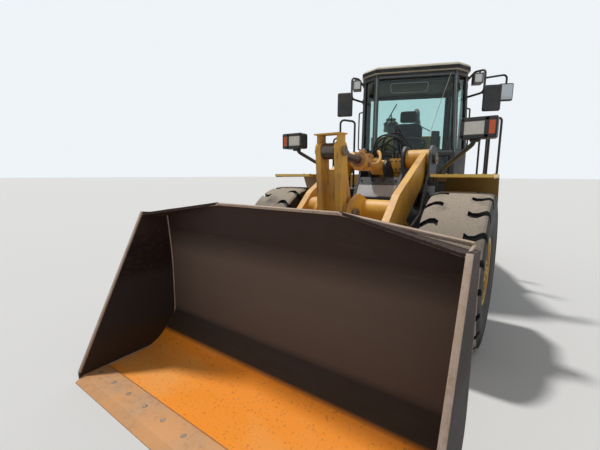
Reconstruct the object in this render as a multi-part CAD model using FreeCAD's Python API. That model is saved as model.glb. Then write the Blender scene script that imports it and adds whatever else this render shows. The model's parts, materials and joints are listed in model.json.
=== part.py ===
"""Articulated wheel loader, built as separate pieces.

Axes: +Z up, forward is -Y, +X is the machine's left side. Every piece is laid out on a straight
machine whose articulation pin stands at x = 0, y = 0 with the ground at z = 0. The rear half is
then turned about that pin by REST_ARTICULATION, the steering angle the machine is parked at, and
the whole is moved so that its box is centred on the origin and stands on z = 0.
All sizes are millimetres and degrees.
"""
import FreeCAD, Part
import math
import os

V = FreeCAD.Vector

# Driving dimensions of the whole machine
WHEELBASE = 3300.0
TYRE_RADIUS = 800.0
TYRE_WIDTH = 595.0
HALF_TRACK = 1085.0
REST_ARTICULATION = 22.0
STEERING_LOCK = 38.0
FRONT_AXLE_Y = -WHEELBASE / 2
REAR_AXLE_Y = WHEELBASE / 2
SIDES = (("left", 1), ("right", -1))

# Running and moving clearances
PIN_CLEARANCE = 0.05
SIDE_CLEARANCE = 5.0
SEAT_GAP = 0.3

# Surface hinges of doors and grille
HINGE_R = 13.0
HINGE_SMALL_PIN_R = 6.0
HINGE_RISE = 15.0
HINGE_REACH = 46.0

# Boom and bucket linkage pins, seen from the side as (y, z)
BOOM_PIVOT = (-1030.0, 1970.0)
BUCKET_HINGE = (-3230.0, 400.0)
BELL_PIVOT = (-2400.0, 1380.0)
BELL_TOP = (-2520.0, 2000.0)
BELL_FOOT = (-2300.0, 740.0)
BUCKET_LINK_PIN = (-3180.0, 690.0)
TILT_BASE = (-1250.0, 1866.0)
LIFT_BASE = (-720.0, 880.0)
LIFT_EYE = (-1890.0, 1320.0)
LIFT_X = 400.0
LIFT_ROD_LENGTH = 1150.0

# Boom
ARM_INNER_X = 490.0
ARM_THICKNESS = 75.0
ARM_OUTER_X = ARM_INNER_X + ARM_THICKNESS
ARM_PIVOT_BOSS_R = 150.0
ARM_HINGE_BOSS_R = 120.0
CROSS_TUBE = (-2090.0, 1385.0)
CROSS_TUBE_R = 125.0
BOOM_PIN_R = 50.0
HINGE_PIN_R = 45.0

# Bell crank, tilt link and their pins
BELL_PLATE_X = (75.0, 133.0)
BELL_PIN_R = 45.0
LINK_HALF_WIDTH = 68.0
LINK_EYE_R = 82.0

# Front frame
TOWER_INNER_X = (270.0, 300.0)
TOWER_OUTER_X = (600.0, 625.0)
HINGE_PLATE_T = 70.0
UPPER_HINGE_Z = 1090.0
LOWER_HINGE_Z = 520.0
HINGE_PIN_RADIUS = 50.0
FORK_PLATE_T = 40.0
FRAME_GAP_Y = 350.0

# Axles
AXLE_TUBE_R = 118.0
AXLE_BULB_R = 235.0
AXLE_FLANGE_X = 770.0
SPINDLE_R = 80.0
SPINDLE_END_X = 1080.0
TRUNNION_R = 120.0

# Wheels
RIM_SEAT_R = 318.0
RIM_FLANGE_R = 350.0
RIM_HALF_WIDTH = 262.0
TREAD_HALF_WIDTH = 266.0
TYRE_FACETS = 40
GROOVES_PER_SIDE = 20
GROOVE_DEPTH = 32.0
GROOVE_WIDTH = 44.0
GROOVE_LENGTH = 150.0
GROOVE_SKEW = 12.0

# Bucket
BUCKET_HALF_WIDTH = 1440.0
BUCKET_PLATE = 25.0
BUCKET_SIDE_PLATE = 32.0
EDGE_Y = -4400.0
BUCKET_TOP_Z = 1515.0
BUCKET_CORNER_Z = 1415.0
BUCKET_TIP_Y = -3700.0
SPILL_BEND_X = 600.0
EDGE_THICKNESS = 40.0
EDGE_DEPTH = 260.0

# Cab
CAB_FLOOR_Z = 1520.0
CAB_TOP_Z = 3235.0
CAB_WALL = 50.0
CAB_FRONT_Y = -640.0
CAB_REAR_Y = 840.0
CAB_FRONT_HALF = 550.0
CAB_SIDE_HALF = 740.0
CAB_CORNER_Y = -440.0
CAB_BELT_Z = 2080.0
CAB_RAKE = 230.0
ROOF_THICKNESS = 95.0
GLASS_T = 8.0
DOOR_Y = (-150.0, 500.0)
DOOR_Z = (CAB_FLOOR_Z + 60, CAB_TOP_Z - 75)
CAB_HEIGHT = CAB_TOP_Z - CAB_FLOOR_Z
SILL_Z = CAB_BELT_Z + 40
FRONT_HEAD_Z = CAB_TOP_Z - 70
SIDE_HEAD_Z = CAB_TOP_Z - 105
DOOR_GAP = 6.0

# Rear frame and body
RAIL_X = (300.0, 340.0)
RAIL_Z = (960.0, 1330.0)
HOOD_HALF = 620.0
HOOD_Y = (900.0, 3480.0)
HOOD_Z = (1330.0, 2480.0)
HOOD_WALL = 40.0
HOOD_DOOR_Y = (1180.0, 2980.0)
HOOD_DOOR_Z = (1820.0, 2230.0)
GRILLE_X = (-500.0, 500.0)
GRILLE_Z = (1420.0, 2140.0)
COUNTERWEIGHT_Y = (3350.0, 3740.0)
COUNTERWEIGHT_Z = (640.0, 1330.0)
COUNTERWEIGHT_HALF = 1180.0
HITCH_Z = 760.0
FENDER_INNER_X = 765.0
FENDER_OUTER_X = 1345.0
FENDER_TOP_Z = 1780.0
FENDER_SHEET = 12.0
DECK_Z = 1500.0
DECK_TOP = DECK_Z + 40.0
DECK_OUTER_X = CAB_SIDE_HALF + 650
TANK_OUTER_X = CAB_SIDE_HALF + 320
TANK_Z = 815.0

# Steering cylinders, seen from above as (x, y)
STEER_BASE = (520.0, 640.0)
STEER_EYE = (400.0, -560.0)
STEER_Z = 720.0
STEER_ROD_R = 28.0
STEER_BARREL_R = 48.0
STEER_BARREL_LENGTH = 770.0
STEER_ROD_LENGTH = 755.0

# Drive shafts and transmission
TRANSMISSION_Y = (FRAME_GAP_Y + 210, REAR_AXLE_Y - 470)
SHAFT_Z = 780.0
SHAFT_R = 45.0

PIECES = {}


def keep(node, shape, half):
    """File a finished piece under its node name, with the half of the machine it belongs to."""
    PIECES[node] = (shape, half)


def fuse(shapes):
    """One solid, or one shape of solids that don't touch, from a list of solids."""
    shapes = list(shapes)
    result = shapes[0]
    if len(shapes) > 1:
        result = result.multiFuse(shapes[1:])
    return result.removeSplitter()


def compound(shapes):
    """Solids that don't touch, kept side by side."""
    return Part.makeCompound(list(shapes))


def box(x, y, z):
    """A block from pairs of low and high limits."""
    (x0, x1), (y0, y1), (z0, z1) = sorted(x), sorted(y), sorted(z)
    return Part.makeBox(x1 - x0, y1 - y0, z1 - z0, V(x0, y0, z0))


def mirrored(shape):
    """The same piece on the other side of the machine's middle plane."""
    return shape.mirror(V(0, 0, 0), V(1, 0, 0))


def both_sides(shape):
    """A piece and its mirror image."""
    return [shape, mirrored(shape)]


def cyl_x(x0, x1, at, r):
    """A round bar along X; at is (y, z)."""
    return Part.makeCylinder(r, x1 - x0, V(x0, at[0], at[1]), V(1, 0, 0))


def cyl_y(y0, y1, x, z, r):
    """A round bar along Y."""
    return Part.makeCylinder(r, y1 - y0, V(x, y0, z), V(0, 1, 0))


def cyl_z(z0, z1, x, y, r):
    """A round bar along Z."""
    return Part.makeCylinder(r, z1 - z0, V(x, y, z0), V(0, 0, 1))


def bar(a, b, r):
    """A round bar between two points."""
    a, b = V(*a), V(*b)
    return Part.makeCylinder(r, (b - a).Length, a, b - a)


def rounded_wire(corners, to_point):
    """A closed outline. corners are (u, v, radius of the corner); to_point places (u, v) in space."""
    edges = []
    starts = []
    ends = []
    count = len(corners)
    for i, (u, v, r) in enumerate(corners):
        before, after = corners[i - 1], corners[(i + 1) % count]
        here = V(u, v, 0)
        to_before = (V(before[0], before[1], 0) - here)
        to_after = (V(after[0], after[1], 0) - here)
        if r <= 0:
            starts.append(here)
            ends.append(here)
            edges.append(None)
            continue
        half = to_before.getAngle(to_after) / 2
        back = r / math.tan(half)
        start = here + V(to_before).normalize() * back
        end = here + V(to_after).normalize() * back
        inward = (V(to_before).normalize() + V(to_after).normalize()).normalize()
        middle = here + inward * (r / math.sin(half) - r)
        starts.append(start)
        ends.append(end)
        edges.append(Part.Arc(to_point(start.x, start.y), to_point(middle.x, middle.y),
                              to_point(end.x, end.y)).toShape())
    outline = []
    for i in range(count):
        if edges[i] is not None:
            outline.append(edges[i])
        a, b = ends[i], starts[(i + 1) % count]
        if (b - a).Length > 1e-6:
            outline.append(Part.LineSegment(to_point(a.x, a.y), to_point(b.x, b.y)).toShape())
    return Part.Wire(outline)


def plate_x(corners, x0, x1):
    """A plate standing across X from a side outline of (y, z, corner radius)."""
    wire = rounded_wire(corners, lambda y, z: V(x0, y, z))
    return Part.Face(wire).extrude(V(x1 - x0, 0, 0))


def plate_z(corners, z0, z1):
    """A flat plate from a plan outline of (x, y, corner radius)."""
    wire = rounded_wire(corners, lambda x, y: V(x, y, z0))
    return Part.Face(wire).extrude(V(0, 0, z1 - z0))


def plate_y(corners, y0, y1):
    """A plate standing across Y from a front outline of (x, z, corner radius)."""
    wire = rounded_wire(corners, lambda x, z: V(x, y0, z))
    return Part.Face(wire).extrude(V(0, y1 - y0, 0))


def bent_tube(points, radius, bend):
    """A tube of round section along straight runs joined by tangent arcs."""
    pts = [V(*p) for p in points]
    pieces = []
    last = pts[0]
    for before, here, after in zip(pts, pts[1:], pts[2:]):
        back_way = V(before - here).normalize()
        on_way = V(after - here).normalize()
        half = back_way.getAngle(on_way) / 2
        run = min((before - here).Length, (after - here).Length)
        r = min(bend, 0.45 * run * math.tan(half))
        start = here + back_way * (r / math.tan(half))
        centre = here + (back_way + on_way).normalize() * (r / math.sin(half))
        turn_axis = on_way.cross(back_way).normalize()
        pieces.append(Part.makeCylinder(radius, (start - last).Length, last, start - last))
        ring = Part.Face(Part.Wire(Part.makeCircle(radius, start, back_way)))
        pieces.append(ring.revolve(centre, turn_axis, 180 - math.degrees(2 * half)))
        last = here + on_way * (r / math.tan(half))
    pieces.append(Part.makeCylinder(radius, (pts[-1] - last).Length, last, pts[-1] - last))
    return pieces[0].multiFuse(pieces[1:]) if len(pieces) > 1 else pieces[0]


def lug_plate(a, b, ra, rb):
    """Side outline of a plate with a round end about each of two pins, as one closed wire's corners."""
    (ay, az), (by, bz) = a, b
    length = math.hypot(by - ay, bz - az)
    uy, uz = (by - ay) / length, (bz - az) / length
    ny, nz = -uz, uy
    k = 1.0
    return [(ay - uy * ra * k + ny * ra, az - uz * ra * k + nz * ra, ra * 0.98),
            (by + uy * rb * k + ny * rb, bz + uz * rb * k + nz * rb, rb * 0.98),
            (by + uy * rb * k - ny * rb, bz + uz * rb * k - nz * rb, rb * 0.98),
            (ay - uy * ra * k - ny * ra, az - uz * ra * k - nz * ra, ra * 0.98)]


def hinge(at, axis, out, on_leaf, length):
    """A small surface hinge; returns its moving and its fixed half.

    at is the middle of the axis, HINGE_RISE outside the panel's face; axis, out and on_leaf are unit
    vectors along the axis, out of the face, and from the axis onto the moving panel.
    """
    at, axis, out, on_leaf = V(*at), V(*axis), V(*out), V(*on_leaf)

    def block(low, high, side, reach):
        base = at + axis * low - out * HINGE_RISE
        corners = [base, base + side * reach, base + side * reach + out * (HINGE_RISE * 0.6), base + out * HINGE_RISE]
        return Part.Face(Part.makePolygon(corners + corners[:1])).extrude(axis * (high - low))

    half = length / 2
    moving = fuse([Part.makeCylinder(HINGE_R, length, at - axis * half, axis), block(-half, half, on_leaf, HINGE_REACH)])
    moving = moving.cut(Part.makeCylinder(HINGE_SMALL_PIN_R + PIN_CLEARANCE, length * 3, at - axis * length * 1.5, axis))
    near, far = half + SIDE_CLEARANCE, half + SIDE_CLEARANCE + 14
    fixed = [Part.makeCylinder(HINGE_SMALL_PIN_R, far * 2, at - axis * far, axis)]
    for low, high in ((-far, -near), (near, far)):
        fixed.append(Part.makeCylinder(HINGE_R - 2, high - low, at + axis * low, axis))
        fixed.append(block(low, high, on_leaf * -1, HINGE_REACH))
    return moving, fuse(fixed)


def add_hinges(leaf, wall, places, axis, out, on_leaf, length=60.0):
    """A leaf and a wall with a hinge half at each place."""
    for at in places:
        moving, fixed = hinge(at, axis, out, on_leaf, length)
        leaf = leaf.fuse(moving)
        wall = wall.fuse(fixed)
    return leaf.removeSplitter(), wall.removeSplitter()


def tyre():
    """One tyre at the origin, axis along X: a ring of flat facets with grooves cut from both shoulders."""
    half = TYRE_WIDTH / 2
    # half section of the carcass as (x from the middle, radius)
    bead = (RIM_SEAT_R + SEAT_GAP) / math.cos(math.pi / TYRE_FACETS)
    side = [(TREAD_HALF_WIDTH, TYRE_RADIUS), (half - 9, TYRE_RADIUS - 50), (half, TYRE_RADIUS - 160),
            (RIM_HALF_WIDTH - 22, RIM_FLANGE_R + 14), (RIM_HALF_WIDTH - 22, bead)]
    section = side + [(-x, r) for x, r in reversed(side)]
    pitch = 360.0 / TYRE_FACETS

    def at(point, k):
        angle = math.radians(pitch * k)
        return V(point[0], point[1] * math.sin(angle), point[1] * math.cos(angle))

    faces = []
    for k in range(TYRE_FACETS):
        for i in range(len(section)):
            a, b = section[i], section[(i + 1) % len(section)]
            quad = [at(a, k), at(b, k), at(b, k + 1), at(a, k + 1)]
            faces.append(Part.Face(Part.makePolygon(quad + quad[:1])))
    ring = Part.Solid(Part.Shell(faces))
    if ring.Volume < 0:
        ring.reverse()
    cutters = []
    for s in (1, -1):
        for k in range(GROOVES_PER_SIDE):
            outer = half + 20
            inner = TREAD_HALF_WIDTH - GROOVE_LENGTH
            w = GROOVE_WIDTH / 2
            plan = [(s * outer, w - GROOVE_SKEW), (s * inner, w + GROOVE_SKEW), (s * inner, GROOVE_SKEW - w),
                    (s * outer, -GROOVE_SKEW - w)]
            floor = TYRE_RADIUS - GROOVE_DEPTH
            wire = Part.makePolygon([V(x, y, floor) for x, y in plan + plan[:1]])
            cutter = Part.Face(wire).extrude(V(0, 0, GROOVE_DEPTH * 2))
            turn = 360.0 / GROOVES_PER_SIDE * (k + (0.0 if s > 0 else 0.5)) + pitch / 2
            cutter.rotate(V(0, 0, 0), V(1, 0, 0), -turn)
            cutters.append(cutter)
    return ring.cut(Part.makeCompound(cutters))


def rim():
    """One rim with its disc and planetary hub at the origin; +X is the outer side."""
    wall = 14.0
    flange = RIM_FLANGE_R
    seat = RIM_SEAT_R
    w = RIM_HALF_WIDTH
    # section through the rim as (x, radius)
    section = [(-w, flange), (-w + wall, flange), (-w + wall, seat), (w - wall, seat), (w - wall, flange), (w, flange),
               (w, seat - wall), (150, seat - wall), (120, 268), (60, 262), (60, 205), (150, 195), (230, 165), (258, 95),
               (258, 0), (30, 0), (30, SPINDLE_R + PIN_CLEARANCE), (-70, SPINDLE_R + PIN_CLEARANCE), (-70, 190),
               (30, 200), (30, 275), (90, 285), (105, seat - wall), (-w, seat - wall)]
    wire = Part.makePolygon([V(x, 0, r) for x, r in section + section[:1]])
    return Part.Face(wire).revolve(V(0, 0, 0), V(1, 0, 0), 360)


def wheels():
    """Four tyres and four rims."""
    tyre_shape = tyre()
    rim_shape = rim()
    # end of the machine: name, axle y, half it belongs to
    for end, y, half in (("front", FRONT_AXLE_Y, "front"), ("rear", REAR_AXLE_Y, "rear")):
        for side, s in SIDES:
            move = V(s * HALF_TRACK, y, TYRE_RADIUS)
            for node, shape in (("tyre", tyre_shape), ("rim", rim_shape)):
                placed = shape.copy() if s > 0 else mirrored(shape)
                placed.translate(move)
                keep(f"{node}_{end}_{side}", placed, half)


def axle(y, pad_x, pad_top, trunnion):
    """A drive axle: tubes, a round middle, spindles and what it is held by, pads or trunnions."""
    z = TYRE_RADIUS
    # right half of the housing as (x, radius)
    section = [(0, AXLE_BULB_R), (90, AXLE_BULB_R), (230, AXLE_TUBE_R + 25), (640, AXLE_TUBE_R), (640, 175),
               (AXLE_FLANGE_X, 175), (AXLE_FLANGE_X + 60, 120), (AXLE_FLANGE_X + 60, SPINDLE_R),
               (SPINDLE_END_X, SPINDLE_R), (SPINDLE_END_X, 0), (0, 0)]
    wire = Part.makePolygon([V(x, y, z + r) for x, r in section + section[:1]])
    half = Part.Face(wire).revolve(V(0, y, z), V(1, 0, 0), 360)
    pieces = both_sides(half)
    for x0, x1 in pad_x:
        pad = box((x0, x1), (y - 190, y + 190), (z + 60, pad_top))
        pieces += both_sides(pad)
    nose = 1 if y < 0 else -1
    pieces.append(Part.makeCone(150, 85, 330, V(0, y, SHAFT_Z), V(0, nose, 0)))
    if trunnion:
        pieces.append(cyl_y(y - 340, y + 340, 0, SHAFT_Z, TRUNNION_R))
    return fuse(pieces)


def tower_outline():
    """Side outline of one upright plate of the front frame."""
    py, pz = BOOM_PIVOT
    return [(-FRAME_GAP_Y, 480, 40), (-FRAME_GAP_Y, 1215, 60), (-620, 1285, 100), (py + 168, 1485, 80),
            (py + 168, pz + 165, 150), (py - 170, pz + 165, 150), (py - 190, pz - 180, 120),
            (-1480, 1330, 100), (-2000, 1160, 60), (-2000, 985, 20), (-1390, 985, 50), (-1240, 480, 60)]


def front_frame():
    """Upright plates, hinge plates, cross members and the cylinder brackets of the front half."""
    py, pz = BOOM_PIVOT
    outline = tower_outline()
    inner = plate_x(outline, *TOWER_INNER_X)
    outer = plate_x(outline, *TOWER_OUTER_X)
    pieces = both_sides(inner) + both_sides(outer)
    x0, x1 = TOWER_INNER_X
    ox0, ox1 = TOWER_OUTER_X
    # cross members as (x, y, z) limits
    for x, y, z in (((-ox0, ox0), (-FRAME_GAP_Y - 35, -FRAME_GAP_Y), (480, 1200)),
                    ((-x0, x0), (-1225, -FRAME_GAP_Y - 35), (480, 510)),
                    ((-ox0, ox0), (-1160, -1130), (490, 700)),
                    ((-x0, x0), (-1995, -1965), (985, 1150)),
                    ((-x0, x0), (-1965, -1400), (1045, 1065)),
                    ((-x0, x0), (py - 40, py + 120), (1640, 1720))):
        pieces.append(box(x, y, z))
    cover = Part.Face(Part.makePolygon([V(-x0, -1965, 1130), V(-x0, -1965, 1142), V(-x0, -1480, 1312),
                                        V(-x0, -1240, 1740), V(-x0, -1230, 1735), V(-x0, -1470, 1300),
                                        V(-x0, -1965, 1130)])).extrude(V(2 * x0, 0, 0))
    pieces.append(cover)
    # hinge plates with round ends about the articulation pin
    for z0 in (UPPER_HINGE_Z, LOWER_HINGE_Z):
        plate = plate_z([(-190, -FRAME_GAP_Y - 20, 0), (190, -FRAME_GAP_Y - 20, 0), (120, 118, 115), (-120, 118, 115)],
                        z0, z0 + HINGE_PLATE_T)
        pieces.append(plate)
    # ears that carry the tilt cylinder
    ty, tz = TILT_BASE
    ear = plate_x([(ty - 85, tz - 85, 80), (ty - 85, tz + 85, 80), (ty + 85, tz + 85, 80), (py + 100, 1720, 20),
                   (py + 60, 1650, 0), (py - 30, 1650, 0)], 88, 118)
    pieces += both_sides(ear)
    # lift cylinder pins between the upright plates, and the boom pins
    pieces += both_sides(cyl_x(x1 - 10, ox0 + 10, LIFT_BASE, 40))
    pieces.append(cyl_x(-118, 118, TILT_BASE, 40))
    pieces += both_sides(cyl_x(x0 - 25, ox1 + 25, BOOM_PIVOT, BOOM_PIN_R))
    # brackets that hold the steering rod eyes
    ex, ey = STEER_EYE
    for z0, z1 in ((STEER_Z - 92, STEER_Z - 62), (STEER_Z + 62, STEER_Z + 92)):
        pieces += both_sides(box((ex - 65, ex + 65), (ey - 60, -FRAME_GAP_Y - 20), (z0, z1)))
    body = fuse(pieces)
    openings = [cyl_z(z0 - 5, z0 + HINGE_PLATE_T + 5, 0, 0, HINGE_PIN_RADIUS + PIN_CLEARANCE)
                for z0 in (UPPER_HINGE_Z, LOWER_HINGE_Z)]
    # the shaft's hole and the slots that the steering rods pass through
    openings.append(cyl_y(-FRAME_GAP_Y - 60, -FRAME_GAP_Y + 10, 0, SHAFT_Z, 110))
    openings += both_sides(box((x1 + 5, ox0 - 10), (-FRAME_GAP_Y - 36, -FRAME_GAP_Y + 1), (STEER_Z - 62, STEER_Z + 62)))
    keep("front_frame", body.cut(compound(openings)), "front")
    keep("front_axle", axle(FRONT_AXLE_Y, (TOWER_INNER_X, TOWER_OUTER_X), 985 - SEAT_GAP, False), "front")
    ball = Part.makeSphere(58, V(0, 0, SHAFT_Z))
    shaft = fuse([cyl_y(FRONT_AXLE_Y + 330 + SEAT_GAP, 0, 0, SHAFT_Z, SHAFT_R), ball,
                  cyl_y(FRONT_AXLE_Y + 330 + SEAT_GAP, FRONT_AXLE_Y + 360, 0, SHAFT_Z, 80)])
    keep("front_drive_shaft", shaft, "front")


def fender_outline(y, front, rear, rear_drop_y, rear_drop_z):
    """Side outline of a fender sheet: flat over the tyre, then down behind it."""
    t = FENDER_SHEET
    z = FENDER_TOP_Z
    return [(front, z, 0), (rear, z, 60), (rear_drop_y, rear_drop_z, 0), (rear_drop_y - t, rear_drop_z, 0),
            (rear - 6, z - t, 60), (front + t, z - t, 0), (front + t, z - 30, 0), (front, z - 30, 0)]


def front_fenders():
    """Flat fenders over the front tyres, on brackets from the upright plates."""
    sheet = plate_x(fender_outline(FRONT_AXLE_Y, -1760, -1050, -800, 1300), FENDER_INNER_X, FENDER_OUTER_X)
    lip = plate_x([(-1748, 1738, 0), (-1748, 1768, 0), (-1060, 1768, 0), (-1060, 1738, 0)], FENDER_OUTER_X - 8,
                  FENDER_OUTER_X)
    ox1 = TOWER_OUTER_X[1]
    bracket = box((ox1, FENDER_INNER_X + 40), (-1115, -1080), (1690, FENDER_TOP_Z - FENDER_SHEET))
    back_bracket = box((ox1, FENDER_INNER_X + 40), (-925, -895), (1430, 1510))
    keep("front_fenders", compound(both_sides(fuse([sheet, lip, bracket, back_bracket]))), "front")


def head_lamps():
    """Lamp boxes on bars that rise from the fender brackets, with their lenses."""
    # lamp box limits and lens limits
    x, y, z = (995.0, 1325.0), (-1610.0, -1460.0), (2135.0, 2345.0)
    housing = box(x, y, z)
    housing = housing.makeFillet(28, [e for e in housing.Edges if abs(e.tangentAt(e.FirstParameter).y) > 0.9])
    wall = 14
    pocket = box((x[0] + wall, x[1] - wall), (y[0] - 1, y[0] + 26), (z[0] + wall, z[1] - wall))
    housing = housing.cut(pocket)
    arm = bent_tube([(690, -1190, 1740), (800, -1250, 1860), (1110, -1510, 2090), (1130, -1530, 2160)], 24, 120)
    foot = box((TOWER_OUTER_X[1], 720), (-1215, -1165), (1640, 1690))
    post = bar((690, -1190, 1665), (690, -1190, 1745), 24)
    keep("head_lamps", compound(both_sides(fuse([housing, arm, foot, post]))), "front")
    split = x[0] + 0.70 * (x[1] - x[0])
    lens = box((x[0] + wall + 1, split - 2), (y[0] + 4, y[0] + 26 - SEAT_GAP), (z[0] + wall + 1, z[1] - wall - 1))
    signal = box((split + 2, x[1] - wall - 1), (y[0] + 2, y[0] + 26 - SEAT_GAP), (z[0] + wall + 1, z[1] - wall - 1))
    keep("head_lamp_lenses", compound(both_sides(lens)), "front")
    keep("signal_lenses", compound(both_sides(signal)), "front")


def arm_outline():
    """Side outline of one boom arm: from the pivot boss over the knee to the bucket hinge boss."""
    py, pz = BOOM_PIVOT
    hy, hz = BUCKET_HINGE
    r, s = ARM_PIVOT_BOSS_R, ARM_HINGE_BOSS_R
    return [(py + r * 0.9, pz - 20, r * 0.8), (py + 60, pz + r * 1.02, r * 0.8), (-2110, 1570, 260),
            (hy - 40, hz + s * 1.1, s * 0.7), (hy - s * 0.9, hz - 40, s * 0.7), (hy + 20, hz - s * 1.05, s * 0.7),
            (-2020, 1165, 320), (py + 20, pz - r * 1.05, r * 0.7)]


def boom():
    """Two arms, the cross tube, the bell crank's bracket and the lift cylinder ears."""
    arm = plate_x(arm_outline(), ARM_INNER_X, ARM_OUTER_X)
    pivot_boss = cyl_x(TOWER_INNER_X[1] + SIDE_CLEARANCE, TOWER_OUTER_X[0] - SIDE_CLEARANCE, BOOM_PIVOT,
                       ARM_PIVOT_BOSS_R * 0.8)
    hinge_boss = cyl_x(ARM_INNER_X - 20, ARM_OUTER_X + 20, BUCKET_HINGE, ARM_HINGE_BOSS_R)
    ey, ez = LIFT_EYE
    ear = plate_x([(CROSS_TUBE[0] - 60, CROSS_TUBE[1] - 60, 30), (CROSS_TUBE[0] - 20, CROSS_TUBE[1] + 80, 60),
                   (ey + 60, ez + 100, 80), (ey + 85, ez - 20, 60), (ey - 10, ez - 85, 60)], LIFT_X - 38 - 42, LIFT_X - 38 - 8)
    near, far = LIFT_X - 38 - SIDE_CLEARANCE, LIFT_X + 38 + SIDE_CLEARANCE
    lift_stubs = [cyl_x(LIFT_X - 90, near, LIFT_EYE, 50), cyl_x(far, ARM_INNER_X + 5, LIFT_EYE, 50)]
    pieces = both_sides(fuse([arm, pivot_boss, hinge_boss, ear] + lift_stubs))
    pieces.append(cyl_x(-ARM_INNER_X, ARM_INNER_X, CROSS_TUBE, CROSS_TUBE_R))
    by, bz = BELL_PIVOT
    bracket = plate_x([(CROSS_TUBE[0] + 60, CROSS_TUBE[1] - 100, 60), (CROSS_TUBE[0] + 40, 1500, 60),
                       (-2290, 1585, 90), (by - 40, bz + 140, 110), (by - 140, bz, 110), (by - 20, bz - 140, 110)],
                      170, 205)
    pieces += both_sides(bracket)
    body = fuse(pieces)
    holes = both_sides(cyl_x(TOWER_INNER_X[1], TOWER_OUTER_X[0], BOOM_PIVOT, BOOM_PIN_R + PIN_CLEARANCE))
    holes += both_sides(cyl_x(ARM_INNER_X - 60, ARM_OUTER_X + 60, BUCKET_HINGE, HINGE_PIN_R + PIN_CLEARANCE))
    holes.append(cyl_x(-240, 240, BELL_PIVOT, BELL_PIN_R + PIN_CLEARANCE))
    keep("boom", body.cut(compound(holes)), "front")
    # loose pins that hold the bucket and the bell crank
    hinge_pin = cyl_x(ARM_INNER_X - 95, ARM_OUTER_X + 95, BUCKET_HINGE, HINGE_PIN_R)
    keep("bucket_pins", compound(both_sides(hinge_pin)), "front")
    keep("bell_crank_pin", cyl_x(-230, 230, BELL_PIVOT, BELL_PIN_R), "front")


def bell_crank():
    """Two long plates joined by a web, with the foot pin that carries the tilt link."""
    x0, x1 = BELL_PLATE_X
    (ty, tz), (py, pz), (fy, fz) = BELL_TOP, BELL_PIVOT, BELL_FOOT
    outline = [(ty - 88, tz + 88, 60), (ty + 84, tz + 88, 60), (ty + 96, tz - 160, 200), (py + 112, pz + 20, 110),
               (fy + 95, fz - 85, 75), (fy - 85, fz - 90, 75), (py - 150, pz + 40, 260)]
    plate = plate_x(outline, x0, x1)
    web = plate_x([(py - 110, pz + 440, 20), (py + 50, pz + 440, 20), (py + 75, pz - 260, 20), (py - 55, pz - 260, 20)],
                  -x0, x0)
    # bosses about the pivot and a worn guard plate that lies over the tip
    boss = cyl_x(x1, x1 + 24, BELL_PIVOT, 105)
    guard = plate_x([(ty - 100, tz + 150, 0), (ty - 100, tz + 164, 0), (ty + 72, tz + 172, 0), (ty + 72, tz + 158, 0)],
                    -x1 - 6, x1 + 6)
    riser = box((x0 + 20, x1 - 8), (ty - 66, ty + 56), (tz + 60, tz + 156))
    body = fuse(both_sides(plate) + both_sides(boss) + both_sides(riser) + [web, guard])
    # tip, pivot and foot holes as (pin place, radius)
    holes = [cyl_x(-200, 200, BELL_PIVOT, BELL_PIN_R + PIN_CLEARANCE),
             cyl_x(-200, 200, BELL_FOOT, BELL_PIN_R + PIN_CLEARANCE)]
    body = body.cut(compound(holes))
    stubs = both_sides(cyl_x(x0, x1 + 14, BELL_TOP, 42))
    keep("bell_crank", fuse([body] + stubs), "front")
    keep("link_pin", cyl_x(-160, 160, BELL_FOOT, BELL_PIN_R), "front")


def tilt_link():
    """The bar from the bell crank's foot to the bucket."""
    w = LINK_HALF_WIDTH
    r = LINK_EYE_R
    body = plate_x(lug_plate(BELL_FOOT, BUCKET_LINK_PIN, r * 0.72, r * 0.72), -w * 0.7, w * 0.7)
    ends = [cyl_x(-w, w, BELL_FOOT, r), cyl_x(-w, w, BUCKET_LINK_PIN, r)]
    body = fuse([body] + ends)
    holes = [cyl_x(-w - 1, w + 1, BELL_FOOT, BELL_PIN_R + PIN_CLEARANCE), cyl_x(-w - 1, w + 1, BUCKET_LINK_PIN, 46)]
    keep("tilt_link", body.cut(compound(holes)), "front")


def bucket_section(offset):
    """Side outline of the bucket's bent plate, moved outwards by offset, from the edge to the top."""
    o = offset
    return [(EDGE_Y + 60, 25 - o, 0), (-3660 + o * 0.3, 25 - o, 360), (-3405 + o, 300, 260),
            (-3400 + o, 980, 700), (-3440 + o * 0.9, BUCKET_TOP_Z, 0)]


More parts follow.
